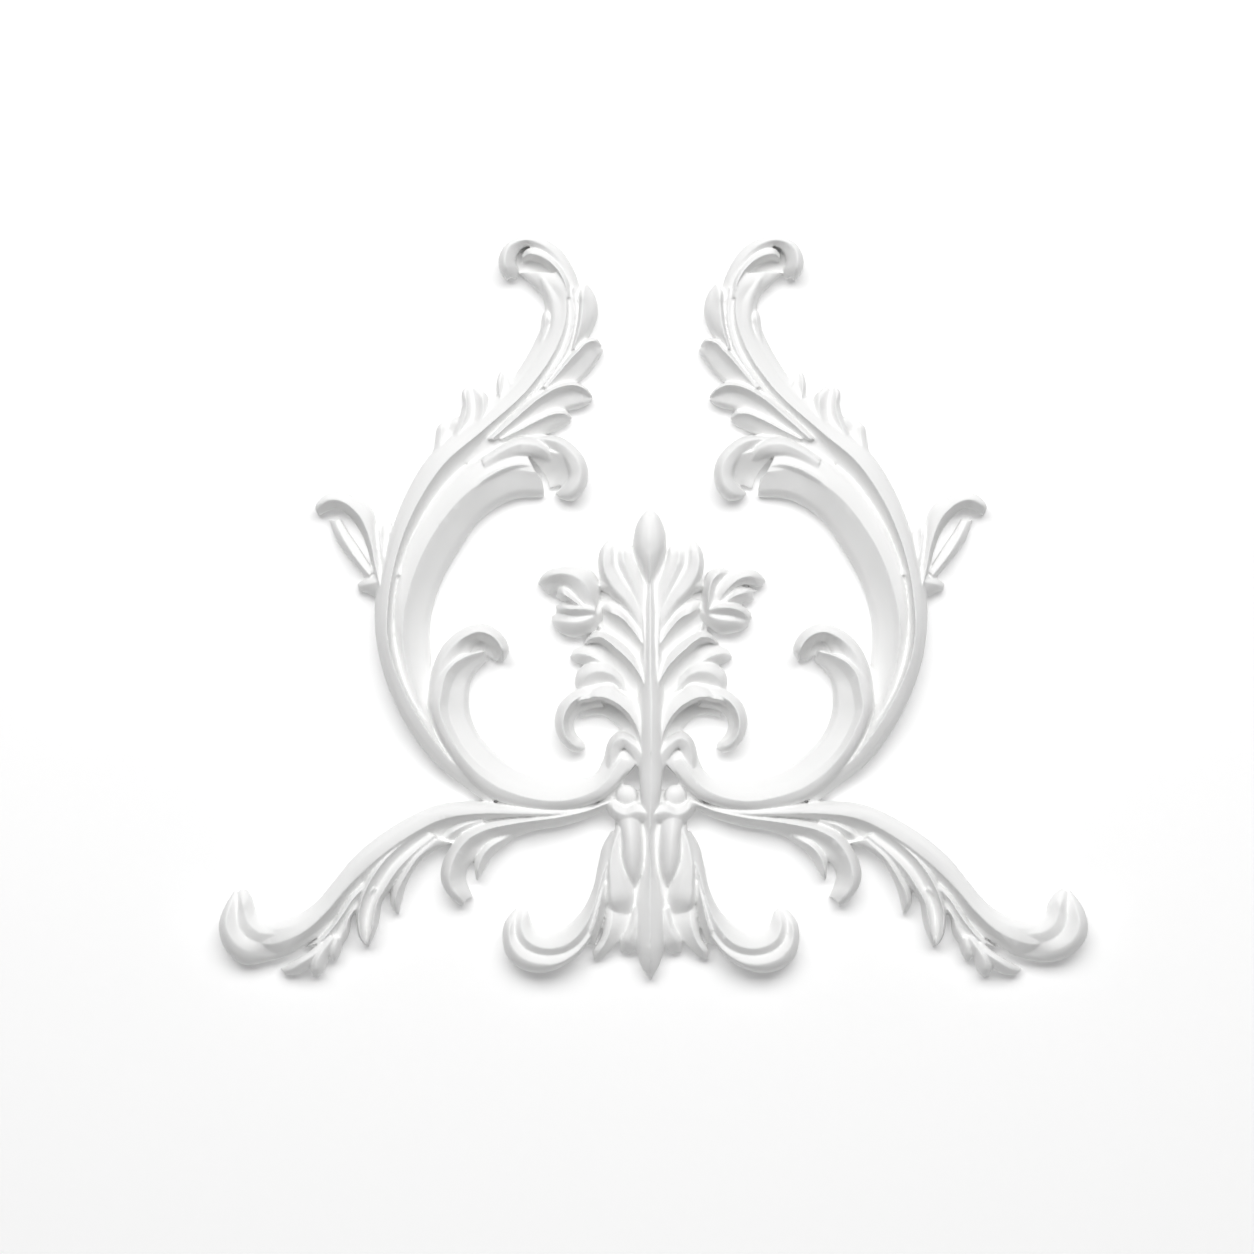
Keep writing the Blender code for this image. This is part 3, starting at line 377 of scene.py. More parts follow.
# The palmette's leaves, alike on both sides of the stem.
palmetteSides = {
    "palmetteLobeOne": ((0.8, 0, 0.6), [
        [(640, 622, 10), (632, 598, 10), (622, 577, 9), (616, 561, 8), (616, 551, 6), (622, 545, 4)],
        [(643, 616, 12), (637, 592, 12.5), (629, 573, 13), (624, 560, 13), (624, 552, 11.5), (627, 547, 6)],
        [(646, 612, 11.5), (641, 590, 11.5), (634, 573, 11.5), (629, 561, 11), (628, 553, 9.5),
         (630, 547, 5)],
        [(648, 604, 8), (645, 588, 8), (640, 574, 7), (636, 562, 6), (634, 553, 5), (632, 546, 4)],
    ]),
    "palmetteLobeTwo": ((0.8, 0, -0.2), [
        [(640, 630, 10), (624, 608, 9), (609, 594, 7), (601, 579, 5), (598, 562, 5), (601, 549, 5),
         (608, 540, 4)],
        [(641, 622, 12), (626, 600, 13.5), (613, 586, 14), (605, 571, 14.5), (604, 558, 14), (606, 549, 12),
         (610, 542, 6)],
        [(643, 616, 12), (631, 596, 12.5), (619, 580, 13), (612, 567, 13), (611, 556, 12.5), (611, 549, 11),
         (612, 543, 6)],
        [(645, 610, 10), (637, 591, 10), (627, 574, 9), (621, 562, 8), (619, 552, 7), (616, 544, 4)],
    ]),
    "palmetteSmallTip": ((0.6, 0.3), [
        [(620, 598, 7), (611, 594, 6), (604, 592, 5), (599, 588, 4), (598, 582, 4)],
        [(621, 594, 9), (613, 589, 11.5), (607, 586, 12), (603, 583, 10), (600, 580, 6)],
        [(623, 589, 8), (615, 584, 9), (609, 581, 9), (604, 579, 7), (600, 578, 4)],
    ]),
    "palmetteLobeThree": ((0.5, 0.2, -0.3), [
        [(644, 632, 9), (634, 614, 8), (622, 604, 7), (610, 599, 6), (602, 600, 5)],
        [(643, 637, 11), (632, 621, 11), (621, 611, 11), (611, 606, 10.5), (603, 604, 7)],
        [(642, 644, 13), (630, 627, 14), (620, 617, 14.5), (611, 613, 12.5), (604, 609, 7)],
        [(641, 652, 8), (628, 638, 6), (616, 627, 5), (608, 620, 4.5), (601, 612, 4)],
    ]),
    "palmetteSpike": ((0.7, 0.2), [
        [(612, 644, 6), (603, 638, 4), (598, 629, 3), (599, 621, 3)],
        [(612, 640, 8), (605, 634, 8), (601, 627, 7.5), (600, 621, 4)],
        [(616, 639, 6), (609, 632, 4.5), (605, 626, 4), (601, 620, 3)],
    ]),
    "turnedLeafRim": ((0.6, -0.3), [
        [(650, 690, 9), (645, 674, 9), (638, 661, 9), (630, 650, 9), (620, 641, 8), (609, 634, 7),
         (598, 631, 6), (589, 636, 5), (583, 644, 4)],
        [(646, 691, 13), (640, 676, 15), (633, 665, 15.5), (625, 656, 15.5), (617, 649, 15),
         (609, 642, 14.5), (600, 637, 13.5), (593, 638, 11.5), (587, 643, 7)],
        [(642, 694, 9), (636, 681, 7.5), (629, 670, 6.5), (621, 661, 6), (613, 655, 6), (606, 648, 6),
         (600, 644, 6), (594, 643, 5.5), (589, 645, 4)],
    ]),
    "turnedLeafSlope": ((-0.3, 0.5), [
        [(644, 692, 8), (636, 680, 6.5), (627, 668, 6), (616, 658, 6), (605, 648, 6), (595, 643, 5),
         (585, 645, 4), (574, 649, 3)],
        [(640, 700, 8), (630, 691, 8), (619, 678, 8.5), (608, 667, 9), (597, 659, 9.5), (586, 654, 10),
         (578, 653, 8), (571, 655, 4)],
        [(637, 706, 6), (626, 697, 6), (614, 688, 6), (603, 675, 5.5), (593, 666, 5), (584, 664, 4.5),
         (576, 662, 4), (570, 658, 3)],
    ]),
    "turnedLeafLobe": ((0.8, 0.2), [
        [(622, 676, 7), (610, 665, 6.5), (598, 661, 6), (586, 664, 5), (578, 671, 4), (575, 681, 4),
         (577, 691, 4)],
        [(624, 684, 9), (612, 674, 12), (601, 671, 12.5), (591, 673, 12), (584, 679, 10.5), (581, 687, 8),
         (581, 694, 5)],
        [(628, 692, 8), (615, 686, 8), (605, 685, 8), (597, 687, 8), (591, 691, 7), (587, 695, 6),
         (585, 698, 5)],
    ]),
    "voluteHook": ((0.8, 0.3, 0.6), [
        [(596, 682, 6), (582, 687, 5), (569, 694, 4), (560, 703, 4), (556, 713, 4), (555, 724, 4),
         (558, 736, 4), (564, 745, 4), (572, 751, 4), (580, 752, 3.5), (586, 748, 3)],
        [(598, 691, 11), (583, 695, 13), (573, 701, 14), (567, 709, 14), (564, 718, 14), (564, 727, 13.5),
         (567, 736, 13), (572, 742, 12), (579, 746, 10), (585, 747, 5)],
        [(600, 699, 8), (587, 701, 8), (578, 705, 8), (573, 711, 8), (569, 719, 8), (569, 727, 7.5),
         (572, 735, 7), (577, 740, 6), (582, 743, 5), (585, 746, 3)],
        [(604, 706, 4), (591, 708, 4), (582, 711, 4), (577, 716, 3.5), (574, 722, 3), (574, 728, 3),
         (576, 733, 3), (580, 738, 3), (584, 742, 3), (586, 745, 2.5)],
    ]),
    "voluteFrill": ((0.5, 0), [
        [(596, 693, 9), (587, 692, 9), (577, 697, 7), (573, 704, 5)],
        [(596, 697, 14), (589, 698, 14), (581, 700, 13.5), (576, 706, 9)],
        [(596, 701, 5), (590, 703, 4.5), (583, 704, 4.5), (578, 710, 4)],
    ]),
    "voluteRim": ((0.6, -0.2), [
        [(648, 744, 10), (646, 726, 10), (641, 711, 10), (632, 699, 10), (621, 691, 9.5), (610, 683, 9),
         (598, 685, 8), (588, 690, 6)],
        [(641, 745, 13), (638, 731, 14), (632, 718, 15), (624, 708, 15.5), (614, 701, 15.5),
         (604, 697, 15.5), (595, 696, 15), (586, 697, 12)],
        [(638, 747, 9), (635.5, 732, 7), (629.5, 720.5, 6), (621.5, 711, 5), (612, 704.5, 4.5),
         (603, 701, 4), (595, 701, 4), (586, 702, 4)],
    ]),
    "voluteCave": ((0, 0.6), [
        [(640, 747, 7), (637, 733, 5), (631, 721, 4), (622, 711, 4), (612, 704, 4), (601, 700, 4),
         (584, 701, 4)],
        [(629, 746, 5), (627, 735, 4.5), (622, 726, 4), (613, 718, 3.5), (603, 713, 3.5), (592, 713, 3.5),
         (581, 716, 3.5)],
        [(624, 746, 3), (622, 733, 3), (618, 727, 2.5), (611, 720, 2.5), (602, 715, 2.5), (592, 715, 2.5),
         (582, 718, 2)],
    ]),
    "palmetteGround": ((0, 0), [
        [(630, 552, 3), (606, 576, 4), (597, 606, 4), (594, 636, 4), (584, 664, 4), (590, 700, 4)],
        [(640, 551, 6), (628, 580, 7), (622, 610, 7), (620, 640, 7), (618, 670, 7), (622, 705, 7)],
        [(653, 549, 8), (653, 590, 8), (653, 620, 8), (653, 660, 8), (653, 690, 8), (653, 715, 8)],
    ]),
}
carved += carveForm(palmetteSides, (1, -1))
print("palmetteSides:", len(carved), "pieces so far")

# The rose at the left end of the crown.
roseLeft = {
    "roseLeftUpper": ((0.8, 0.2, 0.4), [
        [(600, 596, 6), (598, 580, 5), (591, 570, 5), (576, 566, 5), (561, 567, 5), (549, 570, 5),
         (541, 577, 4), (538, 583, 3)],
        [(596, 608, 10), (590, 592, 14), (582, 581, 15.5), (571, 575, 15.5), (560, 574, 14.5),
         (551, 576, 12.5), (544, 580, 9), (539, 584, 4)],
        [(592, 612, 10), (584, 602, 12), (577, 593, 12.5), (570, 586, 12), (563, 582, 11), (556, 583, 9.5),
         (549, 584, 8), (541, 586, 4)],
        [(590, 613, 7), (580, 605, 7), (573, 597, 6.5), (567, 591, 6), (562, 588, 5), (556, 591, 4.5),
         (550, 594, 4), (543, 589, 3)],
    ]),
    "roseLeftMiddle": ((0.7, 0.1), [
        [(592, 613, 8), (582, 603, 8), (574, 595, 8), (568, 589, 7.5), (562, 586, 6), (557, 589, 4)],
        [(590, 613, 12), (580, 606, 14), (571, 599, 15), (563, 594, 14), (558, 592, 8)],
        [(588, 614, 8), (578, 608, 7), (569, 604, 6.5), (562, 601, 5.5), (556, 597, 4)],
    ]),
    "roseLeftLip": ((0.7, 0.2), [
        [(596, 606, 8), (584, 606, 8), (571, 604, 7.5), (562, 603, 6), (556, 606, 4)],
        [(596, 611, 12), (584, 609, 15), (573, 609, 15), (565, 609, 13), (557, 610, 6)],
        [(596, 619, 9), (584, 618, 9.5), (573, 617, 9), (565, 615, 7), (556, 614, 4)],
    ]),
    "roseLeftBody": ((0.3, 0.7), [
        [(601, 600, 6), (591, 608, 8), (579, 611, 9), (567, 611, 8), (558, 613, 5), (552, 616, 3)],
        [(602, 612, 8), (591, 618, 12), (579, 622, 12.5), (567, 622, 11), (558, 621, 8), (552, 621, 4)],
        [(602, 622, 3), (595, 631, 3), (584, 636, 3), (572, 637, 3), (561, 633, 3), (554, 627, 3)],
    ]),
}
carved += carveForm(roseLeft, (1,))
print("roseLeft:", len(carved), "pieces so far")

# The rose at the right end of the crown has its petals the other way about.
roseRight = {
    "roseRightInner": ((0.8, 0.2), [
        [(703, 614, 5), (702, 600, 5), (703, 586, 5), (707, 573, 5), (718, 567, 5), (728, 570, 4),
         (732, 577, 4)],
        [(708, 616, 11), (708, 602, 14), (709, 589, 15), (713, 579, 15), (720, 574, 13.5), (727, 575, 9),
         (730, 579, 5)],
        [(714, 610, 10), (714, 600, 10), (716, 592, 9.5), (719, 585, 9), (723, 581, 8), (728, 580, 6),
         (731, 580, 4)],
    ]),
    "roseRightUpper": ((0.8, 0.3), [
        [(711, 605, 9), (714, 589, 9), (723, 578, 8), (735, 572, 5), (746, 569, 5), (756, 571, 5),
         (763, 577, 4), (766, 582, 3)],
        [(718, 604, 11), (724, 593, 13.5), (732, 584, 14.5), (741, 578, 14.5), (750, 577, 13.5),
         (757, 579, 10), (763, 582, 5)],
        [(722, 602, 9), (729, 594, 9), (736, 588, 8.5), (744, 585, 7.5), (752, 586, 6), (758, 587, 5),
         (763, 586, 3)],
    ]),
    "roseRightWedge": ((0.6, 0.1), [
        [(716, 604, 8), (726, 596, 8), (736, 588, 7.5), (747, 587, 5), (757, 591, 3)],
        [(719, 606, 11), (728, 600, 13), (737, 595, 14), (745, 593, 12), (752, 594, 6)],
        [(721, 609, 8), (731, 606, 7.5), (740, 604, 6.5), (748, 602, 5), (754, 600, 3)],
    ]),
    "roseRightLip": ((0.7, 0.2), [
        [(706, 606, 8), (717, 602, 8.5), (730, 602, 8.5), (742, 606, 7), (751, 613, 4)],
        [(707, 611, 12), (718, 608, 15), (730, 608, 15), (741, 612, 13), (749, 618, 7)],
        [(708, 618, 9), (719, 617, 9.5), (730, 617, 9), (740, 620, 7), (747, 625, 4)],
    ]),
    "roseRightBody": ((0.3, 0.7), [
        [(701, 598, 5), (711, 606, 8), (723, 610, 9), (736, 611, 8), (747, 614, 5), (752, 617, 3)],
        [(700, 612, 7), (711, 617, 12), (723, 620, 12.5), (735, 621, 11), (744, 622, 8), (750, 621, 4)],
        [(701, 620, 3), (708, 627, 3), (720, 634, 3), (733, 633, 3), (743, 630, 3), (749, 625, 3)],
    ]),
}
carved += carveForm(roseRight, (1,))
print("roseRight:", len(carved), "pieces so far")

# The lower arm: acanthus band, stem and leaves.
lowerArm = {
    "acanthusBand": ((0.8, 0, 0.1, 0.4), [
        [(602, 803, 4), (560, 808, 5), (520, 805, 5), (485, 801, 5), (440, 804, 5), (395, 825, 5),
         (355, 856, 5), (335, 880, 5), (318, 900, 5), (300, 913, 5), (285, 918, 5), (268, 919, 5),
         (256, 912, 5)],
        [(602, 805, 8), (560, 811, 11), (520, 810, 12.5), (485, 807, 13), (442, 811, 13), (399, 832, 13),
         (360, 862, 13), (341, 885, 12.5), (324, 906, 12), (303, 921, 12), (286, 926, 12), (270, 927, 11),
         (258, 921, 8)],
        [(602, 807, 8), (560, 813, 11), (520, 813, 12.5), (485, 812, 13.5), (446, 817, 13.5),
         (405, 838, 13.5), (368, 867, 13), (347, 888, 13), (330, 908, 13), (308, 928, 13), (288, 938, 12.5),
         (268, 942, 11), (254, 938, 8)],
        [(602, 809, 5), (560, 815, 6), (520, 817, 7), (485, 819, 7.5), (449, 826, 7.5), (412, 846, 7),
         (377, 872, 6.5), (355, 893, 6), (338, 914, 5.5), (311, 935, 8), (290, 948, 9), (268, 953, 6),
         (250, 948, 4)],
        [(602, 811, 3), (560, 817, 3), (520, 820, 4), (485, 823, 5), (451, 831, 5), (416, 851, 5),
         (382, 877, 4), (360, 900, 3), (343, 920, 3), (310, 941, 6), (287, 955, 6), (266, 960, 3),
         (246, 958, 3)],
    ]),
    "lowerStem": ((0.8, 0, 0.4), [
        [(612, 797, 5), (590, 806, 6), (560, 813, 7), (530, 816, 7), (500, 819, 7), (478, 824, 7),
         (462, 833, 6.5), (450, 848, 6), (443, 862, 5), (441, 875, 4.5), (444, 887, 4), (452, 898, 4),
         (463, 906, 3)],
        [(612, 800, 9), (590, 809, 10.5), (560, 816, 11.5), (530, 820, 12.5), (505, 824, 13.5),
         (485, 829, 13.5), (470, 837, 13.5), (459, 850, 13), (453, 863, 12.5), (451, 875, 12),
         (453, 885, 11), (459, 894, 9.5), (465, 901, 6)],
        [(612, 803, 8), (590, 812, 8), (560, 820, 8), (530, 825, 8), (508, 831, 8.5), (490, 838, 8.5),
         (478, 846, 8), (468, 857, 8), (462, 867, 8), (460, 876, 7.5), (461, 884, 7), (465, 891, 6),
         (469, 898, 4)],
        [(612, 806, 3), (590, 817, 3), (560, 826, 3), (535, 830, 3), (518, 836, 3), (502, 843, 3),
         (487, 851, 3), (475, 860, 3), (468, 868, 2.5), (466, 876, 2.5), (467, 883, 2.5), (470, 890, 2.5),
         (473, 897, 2)],
    ]),
    "lowerStemLobe": ((0.7, 0.5), [
        [(512, 829, 5), (500, 835, 7), (487, 843, 7), (479, 852, 5), (475, 861, 3), (475, 870, 3),
         (476, 879, 3)],
        [(514, 832, 6), (504, 838, 9), (492, 845, 11), (484, 854, 11), (480, 863, 10.5), (478, 871, 9.5),
         (477, 878, 5)],
        [(517, 836, 2), (509, 842, 3), (498, 850, 3), (491, 858, 3), (486, 867, 3), (482, 874, 3),
         (478, 880, 3)],
    ]),
    "stemRidge": ((0.6, 0.3), [
        [(482, 815, 7), (462, 821, 6), (449, 828, 5), (440, 838, 4)],
        [(484, 819, 10), (466, 824, 10.5), (454, 831, 10), (444, 840, 6)],
        [(486, 824, 8), (469, 829, 7), (458, 836, 6), (448, 845, 4)],
    ]),
    "leafFive": ((0.8, -0.4, -0.3, 0.8), [
        [(420, 826, 8), (398, 841, 7), (379, 859, 6), (368, 875, 5), (361, 892, 4), (357, 908, 3),
         (357, 924, 3), (360, 937, 3), (366, 946, 3)],
        [(424, 829, 12), (401, 845, 12.5), (384, 862, 12.5), (373, 878, 12.5), (365, 895, 12),
         (361, 910, 11.5), (361, 925, 11), (363, 936, 10), (367, 944, 5)],
        [(430, 832, 10), (408, 849, 9.5), (391, 866, 9), (380, 884, 8), (372, 900, 7), (368, 915, 6.5),
         (367, 928, 6), (367, 937, 5), (368, 944, 4)],
        [(436, 834, 11), (414, 852, 11.5), (397, 870, 11.5), (386, 887, 11.5), (378, 902, 11),
         (375, 916, 10.5), (373, 929, 9.5), (370, 938, 7), (369, 945, 4)],
        [(440, 838, 6), (418, 856, 5), (401, 874, 4), (390, 890, 3), (382, 903, 3), (380, 917, 3),
         (377, 929, 3), (373, 939, 3), (369, 947, 3)],
    ]),
    "leafSix": ((0.4, 0.7), [
        [(428, 838, 8), (409, 856, 7), (399, 874, 5), (391, 890, 3), (391, 903, 3), (396, 913, 3)],
        [(438, 838, 11), (418, 857, 11.5), (406, 876, 11), (398, 891, 10), (396, 903, 8), (398, 911, 4)],
        [(455, 842, 4), (432, 852, 4), (415, 868, 4), (407, 884, 3), (402, 900, 3), (399, 914, 3)],
    ]),
    "leafFour": ((0.8, -0.3, -0.3, 0.8), [
        [(372, 876, 7), (354, 891, 6), (342, 909, 5), (330, 926, 4), (318, 938, 4), (306, 946, 3)],
        [(373, 880, 11), (356, 896, 11), (346, 911, 10.5), (335, 926, 10), (322, 940, 8), (309, 946, 4)],
        [(375, 883, 8), (359, 899, 7), (348, 913, 6.5), (340, 927, 6), (331, 938, 5), (318, 946, 4)],
        [(376, 886, 10), (361, 902, 9.5), (350, 916, 9), (345, 929, 8.5), (337, 940, 7), (326, 947, 4)],
        [(378, 889, 5), (363, 905, 4), (352, 918, 3), (350, 932, 3), (343, 944, 3), (330, 950, 3)],
    ]),
    "leafThree": ((0.7, 0.7), [
        [(331, 932, 7), (321, 945, 6), (313, 955, 4), (310, 966, 3), (314, 976, 3)],
        [(335, 936, 9), (326, 947, 10), (319, 958, 10.5), (317, 967, 9), (316, 975, 4)],
        [(338, 940, 6), (331, 951, 5), (328, 961, 4), (325, 970, 3), (318, 977, 3)],
    ]),
    "leafTwo": ((0.6, 0.6), [
        [(322, 941, 7), (311, 950, 7), (300, 957, 7), (290, 963, 5), (281, 968, 3)],
        [(326, 944, 9), (314, 954, 10), (303, 961, 10), (294, 967, 8), (284, 971, 4)],
        [(330, 950, 5), (319, 960, 3), (309, 968, 3), (298, 974, 3), (286, 974, 3)],
    ]),
    "leafSmall": ((0.7, 0.7), [
        [(335, 935, 6), (330, 946, 5), (330, 955, 4), (333, 960, 3)],
        [(339, 936, 9), (336, 947, 9), (335, 955, 7), (335, 960, 4)],
        [(344, 938, 5), (342, 949, 4), (339, 957, 3), (336, 961, 3)],
    ]),
}
carved += carveForm(lowerArm, (1, -1))
print("lowerArm:", len(carved), "pieces so far")

# The hooked tips of the arms: the right one opens a little wider.
armHookLeft = {
    "armHookLeft": ((0.8, 0.2, 0.2, 0.8), [
        [(295, 918, 5), (278, 920, 5), (264, 918, 5), (257, 912, 5), (254, 903, 5), (251, 895, 5),
         (247, 890, 4), (241, 888, 3)],
        [(293, 932, 11), (276, 932, 12), (260, 929, 12), (251, 921, 11.5), (247, 910, 11), (245, 902, 11),
         (243, 896, 9), (240, 890, 5)],
        [(292, 942, 8), (272, 941, 10), (254, 938, 10), (243, 929, 9.5), (239, 916, 9), (239, 906, 8),
         (239, 899, 7), (238, 892, 4)],
        [(291, 949, 8), (270, 951, 8), (249, 948, 11), (235, 937, 12), (229, 922, 12), (231, 908, 11),
         (234, 899, 9), (237, 891, 5)],
        [(290, 953, 5), (267, 961, 3), (245, 964, 3), (229, 953, 3), (221, 937, 3), (220, 922, 3),
         (225, 907, 3), (235, 890, 3)],
    ]),
}
carved += carveForm(armHookLeft, (1,))
armHookRight = {
    "armHookRight": ((0.8, 0.2, 0.2, 0.8), [
        [(1007, 918, 5), (1024, 920, 5), (1038, 918, 5), (1045, 912, 5), (1048, 903, 5), (1052, 896, 5),
         (1057, 891, 4), (1063, 888, 3)],
        [(1009, 932, 11), (1026, 932, 12), (1042, 929, 12), (1052, 921, 11.5), (1056, 911, 11),
         (1058, 903, 11), (1061, 897, 9), (1065, 890, 5)],
        [(1010, 942, 8), (1030, 941, 10), (1048, 938, 10), (1060, 929, 9.5), (1065, 917, 9), (1065, 907, 8),
         (1066, 900, 7), (1067, 892, 4)],
        [(1011, 949, 8), (1032, 951, 8), (1055, 947, 11), (1069, 938, 12), (1076, 923, 12), (1074, 909, 11),
         (1071, 900, 9), (1068, 891, 5)],
        [(1012, 953, 5), (1035, 961, 3), (1058, 960, 3), (1075, 951, 3), (1085, 938, 3), (1087, 924, 3),
         (1082, 907, 3), (1070, 890, 3)],
    ]),
}
carved += carveForm(armHookRight, (1,))
print("arm hooks:", len(carved), "pieces so far")

# The foot: calyx, bulb, petals and scroll.
foot = {
    "tulipScroll": ((0.7, 0.2, 0.2, 0.8), [
        [(612, 830, 6), (603, 845, 5), (598, 865, 5), (593, 888, 4.5), (582, 910, 4), (568, 924, 4),
         (552, 931, 4), (540, 930, 4), (533, 925, 4), (530, 917, 4), (528, 911, 3), (523, 907, 3)],
        [(616, 838, 12), (608, 858, 12.5), (601, 880, 13), (594, 905, 13.5), (584, 925, 13.5),
         (570, 940, 13.5), (553, 946, 13), (538, 944, 12.5), (527, 937, 12), (522, 926, 11), (522, 916, 9),
         (522, 908, 4)],
        [(618, 845, 9), (611, 865, 9.5), (604, 888, 10), (598, 908, 10.5), (589, 929, 10.5),
         (574, 946, 10.5), (555, 953, 10.5), (538, 952, 10), (524, 945, 9.5), (516, 933, 8.5),
         (516, 919, 7.5), (521, 908, 4)],
        [(619, 850, 8), (612, 872, 9), (606, 895, 9.5), (600, 915, 10), (590, 935, 11), (576, 951, 11.5),
         (557, 961, 12), (538, 961, 12), (521, 954, 11.5), (511, 940, 11), (511, 923, 10), (519, 908, 4)],
        [(620, 856, 5), (614, 880, 4.5), (608, 902, 4), (601, 922, 4), (591, 938, 4), (577, 956, 3.5),
         (560, 967, 3), (541, 972, 3), (523, 969, 3), (508, 957, 3), (503, 940, 3), (505, 922, 3),
         (516, 907, 3)],
    ]),
    "petalOuter": ((0.5, 0.4), [
        [(600, 876, 7), (594, 900, 7), (588, 920, 6), (584, 935, 5), (589, 945, 3)],
        [(604, 880, 12), (600, 900, 13.5), (596, 918, 13.5), (592, 932, 11.5), (592, 943, 5)],
        [(610, 884, 7), (607, 902, 6.5), (603, 918, 6), (599, 932, 5), (595, 944, 3)],
    ]),
    "petalUnder": ((0.6, -0.2), [
        [(604, 900, 6), (604, 922, 5), (600, 938, 4.5), (593, 951, 4), (594, 959, 3)],
        [(613, 905, 9), (611, 925, 10), (606, 939, 9.5), (600, 950, 8), (598, 957, 4)],
        [(633, 905, 7), (630, 922, 7), (621, 937, 6), (611, 949, 5), (602, 958, 3)],
    ]),
    "petalMiddle": ((0.8, 0, 0.7), [
        [(617, 824, 8), (610, 842, 7.5), (606, 858, 7), (605, 880, 6.5), (607, 903, 6), (613, 916, 5)],
        [(620, 828, 12), (614, 843, 13), (611, 858, 13.5), (611, 880, 13.5), (613, 900, 12.5),
         (618, 913, 8)],
        [(622, 832, 11), (618, 845, 12), (618, 860, 12.5), (621, 878, 13), (625, 896, 12), (625, 912, 8)],
        [(624, 836, 7), (623, 848, 7), (626, 864, 7), (632, 880, 7), (635, 897, 6.5), (633, 914, 5)],
    ]),
    "tulipBulb": ((0.9, 0.9), [
        [(617, 816, 8), (620, 838, 8), (620, 858, 7.5), (625, 873, 7), (634, 887, 6)],
        [(629, 816, 13.5), (631, 838, 15.5), (632, 856, 15), (633, 871, 13), (634, 884, 9)],
        [(641, 816, 8), (644, 838, 7), (645, 854, 6.5), (643, 871, 6), (636, 887, 6)],
    ]),
    "calyx": ((0.7, 0.6), [
        [(653, 809, 8), (643, 803, 8), (636, 801, 8), (627, 805, 8), (618, 802, 7), (611, 797, 5),
         (607, 800, 4)],
        [(653, 815, 13), (643, 811, 14), (635, 810, 14.5), (626, 813, 14), (617, 810, 13), (611, 806, 11),
         (606, 805, 6)],
        [(653, 826, 9), (643, 822, 9), (635, 823, 9), (626, 825, 9), (617, 821, 8), (611, 816, 6),
         (607, 810, 4)],
    ]),
    "centreSideTip": ((0.7, 0.3), [
        [(633, 903, 6), (628, 922, 5), (620, 940, 4), (621, 952, 3)],
        [(638, 908, 10), (633, 926, 10.5), (627, 941, 9), (625, 951, 4)],
        [(645, 913, 9), (641, 930, 7.5), (637, 945, 5.5), (630, 954, 3)],
    ]),
    "footGround": ((0, 0), [
        [(604, 790, 4), (614, 812, 4), (611, 850, 6), (602, 880, 7), (598, 910, 6), (604, 935, 4)],
        [(630, 790, 5), (630, 806, 8), (630, 850, 9), (630, 880, 8), (626, 910, 6), (620, 935, 4)],
        [(653, 790, 6), (653, 806, 9), (653, 850, 9), (653, 880, 9), (653, 910, 8), (653, 940, 7)],
    ]),
}
carved += carveForm(foot, (1, -1))
print("foot:", len(carved), "pieces so far")

# The strands on both sides of the stem.
stemSides = {
    "stemStrand": ((0.4, 0.3), [
        [(631, 590, 7), (637, 608, 8), (640, 635, 9), (640, 665, 9), (637, 705, 8)],
        [(636, 588, 10), (641, 606, 12), (644, 635, 13.5), (644, 665, 14), (643, 705, 13.5)],
        [(642, 586, 8), (645, 604, 10), (648, 635, 11.5), (648, 665, 12), (649, 705, 12)],
    ]),
}
carved += carveForm(stemSides, (1, -1))

